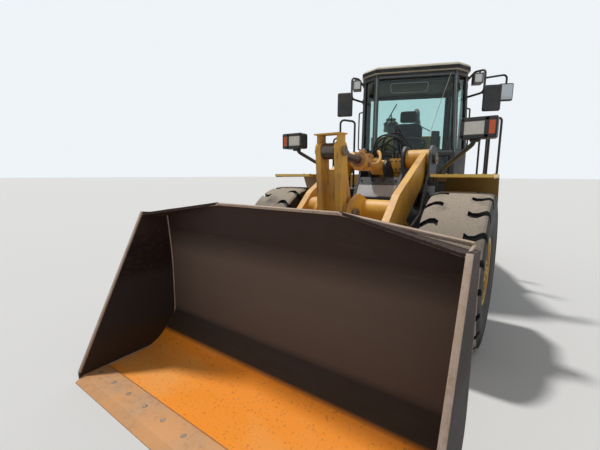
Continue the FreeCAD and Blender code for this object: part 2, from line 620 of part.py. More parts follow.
def bucket():
    """Bent plate, side plates, spill guard and hinge ears."""
    w = BUCKET_HALF_WIDTH - BUCKET_SIDE_PLATE
    t = BUCKET_PLATE
    inner = bucket_section(0)
    outer = bucket_section(t)
    wire = rounded_wire(inner + list(reversed(outer)), lambda y, z: V(-w, y, z))
    shell = Part.Face(wire).extrude(V(2 * w, 0, 0))
    # the top edge falls away from the middle to the corners
    front = BUCKET_TIP_Y - 200
    slope = Part.Face(Part.makePolygon([V(SPILL_BEND_X, front, BUCKET_TOP_Z), V(w + 50, front, BUCKET_CORNER_Z - 60),
                                        V(w + 50, front, BUCKET_TOP_Z + 50), V(SPILL_BEND_X, front, BUCKET_TOP_Z + 50),
                                        V(SPILL_BEND_X, front, BUCKET_TOP_Z)])).extrude(V(0, 700, 0))
    for cutter in both_sides(slope):
        shell = shell.cut(cutter)
    side = plate_x([(EDGE_Y + 40, 0, 0), (EDGE_Y + 40, 60, 20), (BUCKET_TIP_Y, BUCKET_CORNER_Z, 15), (-3430, BUCKET_CORNER_Z - 35, 15),
                    (-3372, 1000, 500), (-3375, 290, 260), (-3650, 0, 340)], w, BUCKET_HALF_WIDTH)
    pieces = [shell] + both_sides(side)
    # flat corner plates between the top edge and the tips of the side plates
    corner = [V(SPILL_BEND_X, -3448, BUCKET_TOP_Z - 6), V(w + 2, -3436, BUCKET_CORNER_Z - 66), V(w + 2, BUCKET_TIP_Y + 10, BUCKET_CORNER_Z - 34)]
    pieces += both_sides(Part.Face(Part.makePolygon(corner + corner[:1])).extrude(V(0, 0, 22)))
    # a stiffener across the back
    pieces.append(box((-w, w), (-3400, -3345), (1130, 1190)))
    # ears that carry the hinge pins, as (low x, high x) of each plate
    hy, hz = BUCKET_HINGE
    ear = [(-3385, 90, 0), (-3385, 1010, 0), (hy + 5, hz + 140, 100), (hy + 115, hz, 110), (hy - 20, hz - 130, 100),
           (-3330, 180, 40)]
    for x0, x1 in ((ARM_INNER_X - 60, ARM_INNER_X - 25), (ARM_OUTER_X + 25, ARM_OUTER_X + 60)):
        pieces += both_sides(plate_x(ear, x0, x1))
    gy, gz = BUCKET_LINK_PIN
    link_ear = [(-3385, 430, 0), (-3385, 960, 0), (gy - 20, gz + 100, 80), (gy + 95, gz + 20, 80), (gy + 20, gz - 110, 80)]
    lx = LINK_HALF_WIDTH + SIDE_CLEARANCE
    pieces += both_sides(plate_x(link_ear, lx, lx + 32))
    pieces += both_sides(cyl_x(lx, lx + 60, BUCKET_LINK_PIN, 55))
    body = fuse(pieces)
    holes = both_sides(cyl_x(ARM_INNER_X - 100, ARM_OUTER_X + 100, BUCKET_HINGE, HINGE_PIN_R + PIN_CLEARANCE))
    keep("bucket", body.cut(compound(holes)), "front")
    # the cutting edge is a thicker bevelled plate along the front of the floor
    e = EDGE_THICKNESS
    edge = plate_x([(EDGE_Y, 0, 0), (EDGE_Y, 6, 0), (EDGE_Y + 70, e, 0), (EDGE_Y + EDGE_DEPTH, e, 0),
                    (EDGE_Y + EDGE_DEPTH + 20, BUCKET_PLATE + SEAT_GAP, 0), (EDGE_Y + 60 - SEAT_GAP, BUCKET_PLATE + SEAT_GAP, 0),
                    (EDGE_Y + 60 - SEAT_GAP, 0, 0)], -w + 4, w - 4)
    keep("bucket_edge", edge, "front")


def barrel_and_rod(base, eye, x, barrel_length, head_length, rod_length, radii, widths):
    """A cylinder between two pins in a side view, its barrel and its rod; x is its middle plane.

    radii are those of the barrel, head, rod, base pin and eye hole; widths those of base and eye.
    """
    barrel_r, head_r, rod_r, pin_r, hole_r = radii
    b, e = V(x, *base), V(x, *eye)
    d = (e - b).normalize()
    knuckle_r = barrel_r * 1.12
    barrel = fuse([Part.makeCylinder(barrel_r, barrel_length - 40, b + d * 40, d),
                   Part.makeCylinder(head_r, head_length, b + d * (barrel_length - head_length), d),
                   cyl_x(x - widths[0] / 2, x + widths[0] / 2, base, knuckle_r)])
    barrel = barrel.cut(Part.makeCylinder(rod_r + PIN_CLEARANCE, barrel_length, b + d * (knuckle_r + 25), d))
    barrel = barrel.cut(cyl_x(x - 200, x + 200, base, pin_r + PIN_CLEARANCE))
    eye_r = rod_r * 1.75
    rod = fuse([Part.makeCylinder(rod_r, rod_length, e, d * -1),
                cyl_x(x - widths[1] / 2, x + widths[1] / 2, eye, eye_r)])
    rod = rod.cut(cyl_x(x - 200, x + 200, eye, hole_r))
    return barrel, rod


def linkage_cylinders():
    """The tilt cylinder in the middle and the two lift cylinders."""
    barrel, rod = barrel_and_rod(TILT_BASE, BELL_TOP, 0, 640, 190, 950, (85, 98, 45, 40, 43), (166, 136))
    b, e = V(0, *TILT_BASE), V(0, *BELL_TOP)
    d = (e - b).normalize()
    up = V(1, 0, 0).cross(d)
    up = up if up.z > 0 else up * -1
    # square head, port block and clamp on the barrel, as (along, length, half width, half height, raised by)
    blocks = []
    for along, length, wide, high, rise in ((500, 130, 92, 92, 0), (545, 60, 34, 20, 108), (60, 70, 34, 22, 92)):
        lump = Part.makeBox(2 * wide, length, 2 * high, V(-wide, -length / 2, -high))
        lump.Placement = FreeCAD.Placement(b + d * along + up * rise, FreeCAD.Rotation(V(1, 0, 0), d, up, "XYZ"))
        blocks.append(lump)
    bore = Part.makeCylinder(45 + PIN_CLEARANCE, 640, b + d * 120, d)
    keep("tilt_barrel", fuse([barrel] + blocks).cut(bore), "front")
    keep("tilt_rod", rod, "front")
    barrel, rod = barrel_and_rod(LIFT_BASE, LIFT_EYE, LIFT_X, 1100, 80, LIFT_ROD_LENGTH, (62, 72, 36, 40, 39.5), (120, 76))
    keep("lift_barrels", compound(both_sides(barrel)), "front")
    keep("lift_rods", compound(both_sides(rod)), "front")


def turned(point, angle):
    """A point (x, y) turned about the articulation pin."""
    c, s = math.cos(math.radians(angle)), math.sin(math.radians(angle))
    return (c * point[0] - s * point[1], s * point[0] + c * point[1])


def steering_cylinders():
    """The two cylinders between the halves, laid out as the machine is parked."""
    r = STEER_ROD_R
    for side, s in SIDES:
        bx, by = turned((s * STEER_BASE[0], STEER_BASE[1]), REST_ARTICULATION)
        ex, ey = s * STEER_EYE[0], STEER_EYE[1]
        b, e = V(bx, by, STEER_Z), V(ex, ey, STEER_Z)
        d = (e - b).normalize()
        barrel = fuse([Part.makeCylinder(STEER_BARREL_R, STEER_BARREL_LENGTH - 30, b + d * 30, d),
                       Part.makeCylinder(STEER_BARREL_R + 8, 50, b + d * (STEER_BARREL_LENGTH - 50), d),
                       cyl_z(STEER_Z - 53, STEER_Z + 53, bx, by, 55)])
        barrel = barrel.cut(Part.makeCylinder(r + PIN_CLEARANCE, STEER_BARREL_LENGTH, b + d * 75, d))
        barrel = barrel.cut(cyl_z(STEER_Z - 60, STEER_Z + 60, bx, by, 28 + PIN_CLEARANCE))
        keep(f"steer_barrel_{side}", barrel, "laid")
        rod = fuse([Part.makeCylinder(r, STEER_ROD_LENGTH, e, d * -1), cyl_z(STEER_Z - 55, STEER_Z + 55, ex, ey, 50)])
        rod = rod.cut(cyl_z(STEER_Z - 60, STEER_Z + 60, ex, ey, 29))
        keep(f"steer_rod_{side}", rod, "laid")


def rear_frame():
    """Rails, the fork of the articulation joint with its pins, and cross members."""
    outline = [(FRAME_GAP_Y, 480, 40), (FRAME_GAP_Y, 1220, 60), (720, RAIL_Z[1], 80), (COUNTERWEIGHT_Y[0], RAIL_Z[1], 0),
               (COUNTERWEIGHT_Y[0], RAIL_Z[0], 0), (1180, RAIL_Z[0], 60), (900, 480, 80)]
    pieces = both_sides(plate_x(outline, *RAIL_X))
    # cross members as (x, y, z) limits
    for x, y, z in (((-RAIL_X[0], RAIL_X[0]), (FRAME_GAP_Y, FRAME_GAP_Y + 40), (480, 1220)),
                    ((-RAIL_X[0], RAIL_X[0]), (1230, 1270), (960, 1110)),
                    ((-RAIL_X[0], RAIL_X[0]), (2030, 2070), (960, 1110)),
                    ((-RAIL_X[0], RAIL_X[0]), (3000, 3040), (980, 1300))):
        pieces.append(box(x, y, z))
    # fork plates above and below each hinge plate of the front half, and the pins
    for z0 in (UPPER_HINGE_Z, LOWER_HINGE_Z):
        top = z0 + HINGE_PLATE_T + SIDE_CLEARANCE
        bottom = z0 - SIDE_CLEARANCE
        for low in (top, bottom - FORK_PLATE_T):
            pieces.append(plate_z([(-210, FRAME_GAP_Y + 20, 0), (210, FRAME_GAP_Y + 20, 0), (130, -128, 125),
                                   (-130, -128, 125)], low, low + FORK_PLATE_T))
        pieces.append(cyl_z(bottom - FORK_PLATE_T - 14, top + FORK_PLATE_T + 14, 0, 0, HINGE_PIN_RADIUS))
        pieces.append(cyl_z(top + FORK_PLATE_T, top + FORK_PLATE_T + 18, 0, 0, 85))
    # brackets and pins for the steering cylinders
    sx, sy = STEER_BASE
    for z0, z1 in ((STEER_Z - 88, STEER_Z - 58), (STEER_Z + 58, STEER_Z + 88)):
        pieces += both_sides(box((RAIL_X[1] - 5, sx + 60), (sy - 55, sy + 75), (z0, z1)))
    pieces += both_sides(cyl_z(STEER_Z - 90, STEER_Z + 90, sx, sy, 28))
    # hangers for the swinging rear axle
    for y in (REAR_AXLE_Y - 330, REAR_AXLE_Y + 270):
        pieces.append(box((-RAIL_X[0], RAIL_X[0]), (y, y + 60), (620, 1000)))
    body = fuse(pieces)
    body = body.cut(cyl_y(REAR_AXLE_Y - 400, REAR_AXLE_Y + 400, 0, SHAFT_Z, TRUNNION_R + SEAT_GAP))
    body = body.cut(cyl_y(FRAME_GAP_Y - 10, FRAME_GAP_Y + 60, 0, SHAFT_Z, 110))
    keep("rear_frame", body, "rear")
    keep("rear_axle", axle(REAR_AXLE_Y, (), 900, True), "rear")
    t0, t1 = TRANSMISSION_Y
    shafts = [fuse([cyl_y(92, t0 - SEAT_GAP, 0, SHAFT_Z, SHAFT_R), cyl_y(t0 - 60, t0 - SEAT_GAP, 0, SHAFT_Z, 80)]),
              fuse([cyl_y(t1 + SEAT_GAP, REAR_AXLE_Y - 340 - SEAT_GAP, 0, SHAFT_Z, SHAFT_R)])]
    keep("rear_drive_shafts", compound(shafts), "rear")
    keep("engine", box((-RAIL_X[0] + SEAT_GAP, RAIL_X[0] - SEAT_GAP), (1560, 2560), (1120, 1900)), "rear")
    keep("transmission", box((-260, 260), TRANSMISSION_Y, (620, 1200)), "rear")


def counterweight():
    """Cast weight that closes the rear, with a slotted hitch."""
    y0, y1 = COUNTERWEIGHT_Y
    z0, z1 = COUNTERWEIGHT_Z
    w = COUNTERWEIGHT_HALF
    plan = [(-w, y0 - 420, 0), (-w, y1 - 130, 160), (-w + 330, y1, 160), (w - 330, y1, 160), (w, y1 - 130, 160),
            (w, y0 - 420, 0)]
    body = plate_z(plan, z0, z1)
    inner = box((-w + 420, w - 420), (y0 - 430, y0), (z0 - 1, z1 + 1))
    body = body.cut(inner)
    slot = box((-90, 90), (y1 - 170, y1 + 10), (HITCH_Z - 45, HITCH_Z + 45))
    pin_hole = cyl_z(z0 - 1, HITCH_Z + 150, 0, y1 - 85, 26)
    keep("counterweight", body.cut(slot).cut(pin_hole), "rear")


def hood():
    """Engine cover: a shell with openings for the side doors and the rear grille."""
    y0, y1 = HOOD_Y
    z0, z1 = HOOD_Z
    w = HOOD_HALF
    t = HOOD_WALL
    top_rear = z1 - 180
    outer = plate_x([(y0, z0, 0), (y0, z1, 20), (y0 + 1700, z1, 300), (y1, top_rear, 120), (y1, z0, 0)], -w, w)
    inner = plate_x([(y0 + t, z0 - 1, 0), (y0 + t, z1 - t, 20), (y0 + 1700, z1 - t, 300), (y1 - t, top_rear - t, 100),
                     (y1 - t, z0 - 1, 0)], -w + t, w - t)
    shell = outer.cut(inner)
    door_y, door_z = HOOD_DOOR_Y, HOOD_DOOR_Z
    shell = shell.cut(box((-w - 1, w + 1), door_y, door_z))
    grille_x, grille_z = GRILLE_X, GRILLE_Z
    shell = shell.cut(box(grille_x, (y1 - t - 1, y1 + 1), grille_z))
    g = DOOR_GAP
    for side, s in SIDES:
        panel = box((w - t, w), (door_y[0] + g, door_y[1] - g), (door_z[0] + g, door_z[1] - g))
        slots = [box((w - 16, w + 1), (door_y[0] + 240, door_y[1] - 240), (z, z + 22))
                 for z in [door_z[0] + 90 + 52 * k for k in range(5)]]
        panel = panel.cut(compound(slots))
        panel = panel if s > 0 else mirrored(panel)
        places = [(s * (w + HINGE_RISE), y, door_z[1] - g / 2) for y in (door_y[0] + 250, door_y[1] - 250)]
        panel, shell = add_hinges(panel, shell, places, (0, 1, 0), (s, 0, 0), (0, 0, -1))
        keep(f"hood_door_{side}", panel, "rear")
    frame = box((grille_x[0] + g, grille_x[1] - g), (y1 - t, y1), (grille_z[0] + g, grille_z[1] - g))
    frame = frame.cut(box((grille_x[0] + 60, grille_x[1] - 60), (y1 - t - 1, y1 + 1), (grille_z[0] + 60, grille_z[1] - 60)))
    bars = [box((grille_x[0] + 55, grille_x[1] - 55), (y1 - t + 8, y1 - 8), (z, z + 16))
            for z in [grille_z[0] + 90 + 50 * k for k in range(12)]]
    uprights = [box((x - 10, x + 10), (y1 - t + 8, y1 - 8), (grille_z[0] + 55, grille_z[1] - 55)) for x in (-165, 165)]
    grille = fuse([frame] + bars + uprights)
    places = [(grille_x[1] - g / 2, y1 + HINGE_RISE, z) for z in (grille_z[0] + 120, grille_z[1] - 120)]
    grille, shell = add_hinges(grille, shell, places, (0, 0, 1), (0, 1, 0), (-1, 0, 0))
    keep("rear_grille", grille, "rear")
    keep("hood", shell, "rear")
    keep("radiator", box((-470, 470), (3150, 3260), (RAIL_Z[1] + SEAT_GAP, 2180)), "rear")
    stack = fuse([cyl_z(z1 + SEAT_GAP, z1 + 380, 260, 1500, 62),
                  bent_tube([(260, 1500, z1 + 360), (260, 1500, z1 + 520), (260, 1640, z1 + 580)], 50, 90)])
    keep("exhaust_stack", stack, "rear")
    cleaner = fuse([cyl_z(z1 + SEAT_GAP, z1 + 160, -250, 1420, 60), cyl_z(z1 + 160, z1 + 320, -250, 1420, 135),
                    Part.makeCone(150, 70, 60, V(-250, 1420, z1 + 320))])
    keep("air_cleaner", cleaner, "rear")


def cab_plan(inset):
    """Plan corners of the cab, moved inwards by inset, counter-clockwise from the front right."""
    f, s = CAB_FRONT_HALF - inset * 0.62, CAB_SIDE_HALF - inset
    return [(-f, CAB_FRONT_Y + inset), (f, CAB_FRONT_Y + inset), (s, CAB_CORNER_Y + inset * 0.3),
            (s, CAB_REAR_Y - inset), (-s, CAB_REAR_Y - inset), (-s, CAB_CORNER_Y + inset * 0.3)]


# windows of the cab: wall, post left at each end, sill and head height, and how far each end leans with the front
CAB_WINDOWS = (
    ("front", 0, 34, 34, SILL_Z, FRONT_HEAD_Z, 1, 1),
    ("front low", 0, 60, 60, CAB_FLOOR_Z + 120, CAB_BELT_Z - 40, 1, 1),
    ("front corner left", 1, 40, 48, SILL_Z, FRONT_HEAD_Z, 1, 1),
    ("front corner right", 5, 48, 40, SILL_Z, FRONT_HEAD_Z, 1, 1),
    ("rear", 3, 90, 90, SILL_Z, SIDE_HEAD_Z, 0, 0),
    ("right side front", 4, 480, 70, SILL_Z, SIDE_HEAD_Z, 0, 1),
    ("right side rear", 4, 90, 860, SILL_Z, SIDE_HEAD_Z, 0, 0),
    ("left side rear", 2, 1000, 90, SILL_Z, SIDE_HEAD_Z, 0, 0),
)


def raked(x, y, z, share):
    """A point of the cab, moved back above the belt line as the front leans."""
    rise = max(0.0, (z - CAB_BELT_Z) / (CAB_TOP_Z - CAB_BELT_Z))
    return V(x, y + CAB_RAKE * rise * share, z)


def between(low, high):
    """A solid with flat sides between a lower and an upper outline, both counter-clockwise."""
    faces = [Part.Face(Part.makePolygon(low[::-1] + low[-1:])), Part.Face(Part.makePolygon(high + high[:1]))]
    for i, corner in enumerate(low):
        j = (i + 1) % len(low)
        faces.append(Part.Face(Part.makePolygon([corner, low[j], high[j], high[i], corner])))
    solid = Part.Solid(Part.Shell(faces))
    if solid.Volume < 0:
        solid.reverse()
    return solid


def wall_block(wall, low, high, z0, z1, depth0, depth1, lean0, lean1):
    """A block in one cab wall, from low and high distances along it and depths behind its outer face."""
    corners = cab_plan(0)
    a, b = corners[wall], corners[(wall + 1) % 6]
    length = math.hypot(b[0] - a[0], b[1] - a[1])
    ux, uy = (b[0] - a[0]) / length, (b[1] - a[1]) / length
    nx, ny = -uy, ux
    outline = []
    for along, deep, lean in ((low, depth0, lean0), (length - high, depth0, lean1), (length - high, depth1, lean1),
                              (low, depth1, lean0)):
        outline.append((a[0] + ux * along + nx * deep, a[1] + uy * along + ny * deep, lean))
    return between([raked(x, y, z0, lean) for x, y, lean in outline], [raked(x, y, z1, lean) for x, y, lean in outline])


def cab():
    """Hollow cab with a floor, posts, windows, a door and a roof."""
    shares = (1, 1, 1, 0, 0, 1)

    def prism(inset, z0, z1):
        plan = list(zip(cab_plan(inset), shares))
        return between([raked(x, y, z0, share) for (x, y), share in plan], [raked(x, y, z1, share) for (x, y), share in plan])

    shell = prism(0, CAB_FLOOR_Z, CAB_BELT_Z).fuse(prism(0, CAB_BELT_Z, CAB_TOP_Z))
    shell = shell.cut(prism(CAB_WALL, CAB_FLOOR_Z + 40, CAB_BELT_Z)).cut(prism(CAB_WALL, CAB_BELT_Z, CAB_TOP_Z + 1))
    panes = []
    mid = CAB_WALL / 2
    for name, wall, low, high, z0, z1, lean0, lean1 in CAB_WINDOWS:
        shell = shell.cut(wall_block(wall, low, high, z0, z1, -20, CAB_WALL + 20, lean0, lean1))
        panes.append(wall_block(wall, low, high, z0, z1, mid - GLASS_T / 2, mid + GLASS_T / 2, lean0, lean1))
    shell = shell.cut(box((CAB_SIDE_HALF - CAB_WALL - 10, CAB_SIDE_HALF + 10), DOOR_Y, DOOR_Z)).removeSplitter()
    keep("cab_glass", compound(panes), "rear")
    g = DOOR_GAP
    door = box((CAB_SIDE_HALF - CAB_WALL, CAB_SIDE_HALF), (DOOR_Y[0] + g, DOOR_Y[1] - g), (DOOR_Z[0] + g, DOOR_Z[1] - g))
    m = 62
    opening = ((DOOR_Y[0] + m, DOOR_Y[1] - m), (DOOR_Z[0] + 150, DOOR_Z[1] - m))
    door = door.cut(box((CAB_SIDE_HALF - CAB_WALL - 1, CAB_SIDE_HALF + 1), *opening))
    places = [(CAB_SIDE_HALF + HINGE_RISE, DOOR_Y[0] + g / 2, z) for z in (DOOR_Z[0] + 180, DOOR_Z[1] - 110)]
    door, shell = add_hinges(door, shell, places, (0, 0, 1), (1, 0, 0), (0, 1, 0))
    keep("cab_door", door, "rear")
    keep("cab_shell", shell, "rear")
    x_mid = CAB_SIDE_HALF - mid
    keep("door_glass", box((x_mid - GLASS_T / 2, x_mid + GLASS_T / 2), *opening), "rear")
    front_y, corner_y = CAB_FRONT_Y + CAB_RAKE - 60, CAB_CORNER_Y + CAB_RAKE - 60
    plan = [(-CAB_FRONT_HALF - 5, front_y, 40), (CAB_FRONT_HALF + 5, front_y, 40), (CAB_SIDE_HALF + 20, corner_y, 80),
            (CAB_SIDE_HALF + 20, CAB_REAR_Y + 40, 90), (-CAB_SIDE_HALF - 20, CAB_REAR_Y + 40, 90),
            (-CAB_SIDE_HALF - 20, corner_y, 80)]
    roof = plate_z(plan, CAB_TOP_Z, CAB_TOP_Z + ROOF_THICKNESS)
    top_edges = [e for e in roof.Edges if e.BoundBox.ZMin > CAB_TOP_Z + ROOF_THICKNESS - 1]
    roof = roof.makeFillet(40, top_edges)
    keep("cab_roof", roof, "rear")
    # mounts that carry the cab on the frame
    beam = box((-300, 300), (-260, FRAME_GAP_Y + 60), (RAIL_Z[1] - 100, RAIL_Z[1] - 60))
    posts = both_sides(cyl_z(RAIL_Z[1] - 61, CAB_FLOOR_Z, 230, -180, 50))
    rear_posts = both_sides(cyl_z(RAIL_Z[1] - 61, CAB_FLOOR_Z, 230, 640, 50))
    rear_beam = box((-RAIL_X[0], RAIL_X[0]), (580, 700), (RAIL_Z[1] - 100, RAIL_Z[1] - 60))
    keep("cab_mounts", fuse([beam, rear_beam] + posts + rear_posts), "rear")


def cab_inside():
    """Seat, steering column and console."""
    z = CAB_FLOOR_Z + 40
    # heights of cushion, back, headrest, stalk and bracket as shares of the cab's height
    c0, c1, b0, b1, r0, r1, s0, s1, k0, k1 = [z + CAB_HEIGHT * share for share in (
        0.192, 0.262, 0.274, 0.63, 0.642, 0.752, 0.618, 0.653, 0.233, 0.292)]
    cushion = box((-250, 250), (0, 480), (c0, c1))
    cushion = cushion.makeFillet(40, cushion.Edges)
    back = box((-240, 240), (400, 520), (b0, b1))
    back = back.makeFillet(40, back.Edges)
    rest = box((-130, 130), (420, 510), (r0, r1))
    rest = rest.makeFillet(30, rest.Edges)
    post = box((-150, 150), (80, 420), (z, c0 - SEAT_GAP))
    stalk = box((-40, 40), (455, 475), (s0, s1))
    keep("seat", fuse([cushion, back, rest, post, stalk, box((-200, 200), (420, 500), (k0, k1))]), "rear")
    boot = box((-75, 75), (-500, -350), (z, z + 70))
    column = bar((0, -425, z + 20), (0, -250, z + 640), 45)
    hub = V(0, -240, z + 670)
    tilt = V(0, 0.45, 1).normalize()
    wheel = Part.makeTorus(200, 16, hub, tilt)
    spoke_a = bar((-195, -240, z + 670), (195, -240, z + 670), 11)
    hub_disc = Part.makeCylinder(42, 40, hub - tilt * 20, tilt)
    neck = bar((0, -256, z + 620), (hub.x, hub.y, hub.z), 30)
    console = box((300, 420), (20, 480), (z, z + 560))
    right_console = box((-430, -300), (-60, 480), (z, z + 560))
    keep("controls", compound([fuse([boot, column, wheel, spoke_a, hub_disc, neck]), console, right_console]), "rear")


def decks():
    """Walkways beside the cab, the boxes under them and the ladder on the left."""
    left = plate_z([(CAB_SIDE_HALF + 10, -150, 0), (TANK_OUTER_X, -150, 40), (DECK_OUTER_X, 150, 40),
                    (DECK_OUTER_X, 880, 0), (CAB_SIDE_HALF + 10, 880, 0)],
                   DECK_Z, DECK_TOP)
    right = mirrored(left)
    tank_left = box((RAIL_X[1] + SEAT_GAP, TANK_OUTER_X), (420, 800), (TANK_Z, DECK_Z))
    tank_right = box((90 - DECK_OUTER_X, -RAIL_X[1] - SEAT_GAP), (420, 800), (TANK_Z, DECK_Z))
    step_x = (TANK_OUTER_X + 40, DECK_OUTER_X - 20)
    risers = [box((x - 20 * inward, x + 20 * (1 - inward)), (430, 790), (420, DECK_Z)) for x, inward in zip(step_x, (1, 0))]
    treads = [box(step_x, (450, 770), (z, z + 30)) for z in (430, 760, 1100)]
    links = [box((TANK_OUTER_X, TANK_OUTER_X + 20), (500, 720), (900, 960))]
    keep("left_deck", fuse([left, tank_left] + risers + treads + links), "rear")
    keep("right_deck", fuse([right, tank_right]), "rear")
    rails = []
    # handrails as (front y, rear y, top z)
    for ya, yb, top in ((190, 340, DECK_TOP + 1120), (830, 850, DECK_TOP + 1020)):
        x = DECK_OUTER_X - 22
        rails.append(bent_tube([(x, ya, DECK_TOP + SEAT_GAP), (x, ya, top), (x - 110, yb, top),
                                (x - 110, yb, DECK_TOP + SEAT_GAP)], 17, 60))
    # hoops across the right deck as (outer x, inner x, y, top z)
    for xa, xb, y, top in ((270 - DECK_OUTER_X, -CAB_SIDE_HALF - 140, 60, DECK_TOP + 1150),
                           (60 - DECK_OUTER_X, 260 - DECK_OUTER_X, 830, DECK_TOP + 940)):
        rails.append(bent_tube([(xa, y, DECK_TOP + SEAT_GAP), (xa, y, top), (xb, y, top - 40), (xb, y, DECK_TOP + SEAT_GAP)], 17, 60))
    keep("handrails", compound(rails), "rear")
    sheet = plate_x([(930, FENDER_TOP_Z, 0), (2330, FENDER_TOP_Z, 80), (2560, 1330, 0), (2548, 1330, 0), (2322, FENDER_TOP_Z - 12, 80),
                     (942, FENDER_TOP_Z - 12, 0), (942, DECK_Z + 60, 0), (930, DECK_Z + 60, 0)], HOOD_HALF, FENDER_OUTER_X + 30)
    keep("rear_fenders", compound(both_sides(sheet)), "rear")


def mirrors_and_lamps():
    """Mirrors and work lamps on bent tubes at the cab's front corners, and the tail lamps."""
    arms = []
    heads = []
    lamps = []
    y0 = -190.0
    top = CAB_TOP_Z
    for side, s in SIDES:
        x0 = s * (CAB_SIDE_HALF + 14)
        x1 = s * (CAB_SIDE_HALF + 165)
        tubes = [bent_tube([(x0, y0, top - 85), (s * (CAB_SIDE_HALF + 80), y0 - 80, top - 10), (x1, y0 - 250, top - 35),
                            (x1, y0 - 250, top - 330), (x0, y0, top - 335)], 15, 60)]
        for z in (top - 85, top - 335):
            tubes.append(box((s * (CAB_SIDE_HALF + SEAT_GAP), s * (CAB_SIDE_HALF + 14)), (y0 - 26, y0 + 26), (z - 32, z + 32)))
        hang = s * (CAB_SIDE_HALF + 118)
        tubes.append(bar((hang, y0 - 160, top - 70 + SEAT_GAP), (hang, y0 - 160, top - 20), 12))
        if s > 0:
            far_x = CAB_SIDE_HALF + 430
            tubes.append(bent_tube([(x1, y0 - 250, top - 145), (far_x, y0 - 260, top - 120), (far_x, y0 - 260, top - 235)],
                                   13, 60))
            far = box((far_x - 90, far_x + 90), (y0 - 285, y0 - 230), (top - 465, top - 235 - SEAT_GAP))
            heads.append(far.makeFillet(20, far.Edges))
        arms.append(fuse(tubes))
        head = box((x1 - s * 20, x1 + s * 205), (y0 - 320 - SEAT_GAP, y0 - 265 - SEAT_GAP), (top - 595, top - 250))
        heads.append(head.makeFillet(24, head.Edges))
        lamps.append(box((hang - s * 88, hang + s * 30), (y0 - 235, y0 - 110), (top - 205, top - 70)))
    keep("mirror_arms", compound(arms), "rear")
    keep("mirrors", compound(heads), "rear")
    keep("work_lamps", compound(lamps), "rear")
    w, y1 = COUNTERWEIGHT_HALF, COUNTERWEIGHT_Y[1]
    tail = box((w - 300, w - 90), (y1 - 330, y1 - 200), (COUNTERWEIGHT_Z[1], COUNTERWEIGHT_Z[1] + 130))
    keep("tail_lamps", compound(both_sides(tail)), "rear")


def build():
    """Model every piece, place both halves and return the shapes and the shift to the final frame."""
    for make in (wheels, front_frame, front_fenders, head_lamps, boom, bell_crank, tilt_link, bucket, linkage_cylinders,
                 steering_cylinders, rear_frame, counterweight, hood, cab, cab_inside, decks,
                 mirrors_and_lamps):
        make()
    placed = {}
    for node, (shape, half) in PIECES.items():
        shape = shape.copy()
        if half == "rear":
            shape.rotate(V(0, 0, 0), V(0, 0, 1), REST_ARTICULATION)
        placed[node] = shape
    whole = FreeCAD.BoundBox()
    for shape in placed.values():
        whole.add(shape.optimalBoundingBox(False))
    shift = V(-whole.Center.x, -whole.Center.y, -whole.ZMin)
    for shape in placed.values():
        shape.translate(shift)
    return placed, shift


def main():
    """Write one STEP file a node."""
    os.makedirs("parts", exist_ok=True)
    placed, shift = build()
    for node, shape in placed.items():
        shape.exportStep(f"parts/{node}.step")
    print(len(placed), "nodes, shift", [round(c, 3) for c in shift])


if __name__ == "__main__":
    main()
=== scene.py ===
"""Looks of the wheel loader: finishes, finer pieces, floor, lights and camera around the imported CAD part.

Finer pieces are laid out in millimetres on the straight machine, as the CAD part is: the articulation pin
stands at x = 0, y = 0, forward is -Y and +X is the machine's left. Each half is then put where it is parked.
"""

import json
import logging
import math
from dataclasses import dataclass, field
from enum import Enum

import bmesh
import bpy
from mathutils import Matrix, Vector

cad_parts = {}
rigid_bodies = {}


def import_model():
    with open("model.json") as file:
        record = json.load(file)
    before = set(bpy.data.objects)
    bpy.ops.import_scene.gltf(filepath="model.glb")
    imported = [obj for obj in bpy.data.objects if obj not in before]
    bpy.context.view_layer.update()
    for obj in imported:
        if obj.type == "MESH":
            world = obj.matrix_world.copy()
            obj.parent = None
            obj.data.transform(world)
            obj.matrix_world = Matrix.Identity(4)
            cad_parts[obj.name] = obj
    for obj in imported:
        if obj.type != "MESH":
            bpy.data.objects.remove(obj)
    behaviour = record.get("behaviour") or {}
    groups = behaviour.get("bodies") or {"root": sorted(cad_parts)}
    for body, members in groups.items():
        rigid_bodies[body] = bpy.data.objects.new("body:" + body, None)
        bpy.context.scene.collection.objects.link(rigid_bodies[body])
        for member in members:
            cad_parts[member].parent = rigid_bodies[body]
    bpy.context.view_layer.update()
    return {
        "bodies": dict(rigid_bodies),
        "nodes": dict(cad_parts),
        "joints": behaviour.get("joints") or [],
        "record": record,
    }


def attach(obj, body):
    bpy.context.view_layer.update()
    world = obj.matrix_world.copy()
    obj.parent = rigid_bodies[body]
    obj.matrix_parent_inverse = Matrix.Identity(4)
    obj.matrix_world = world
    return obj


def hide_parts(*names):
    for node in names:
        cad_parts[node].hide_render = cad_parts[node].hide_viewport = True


LOG = logging.getLogger("wheel_loader")
REST_ARTICULATION = math.radians(22.0)
AXLE_Z = 800.0
SIDES = (("left", 1), ("right", -1))
Point = tuple[float, float, float]
Pair = tuple[float, float]
Colour = tuple[float, float, float]
Mesh = bmesh.types.BMesh
Tree = bpy.types.NodeTree
Socket = bpy.types.NodeSocket


class Half(Enum):
    """The two halves of the machine, which meet at the articulation pin."""

    FRONT = "front"
    REAR = "rear"


class Run(Enum):
    """How a pipe goes from point to point."""

    STRAIGHT = "POLY"
    CURVED = "NURBS"


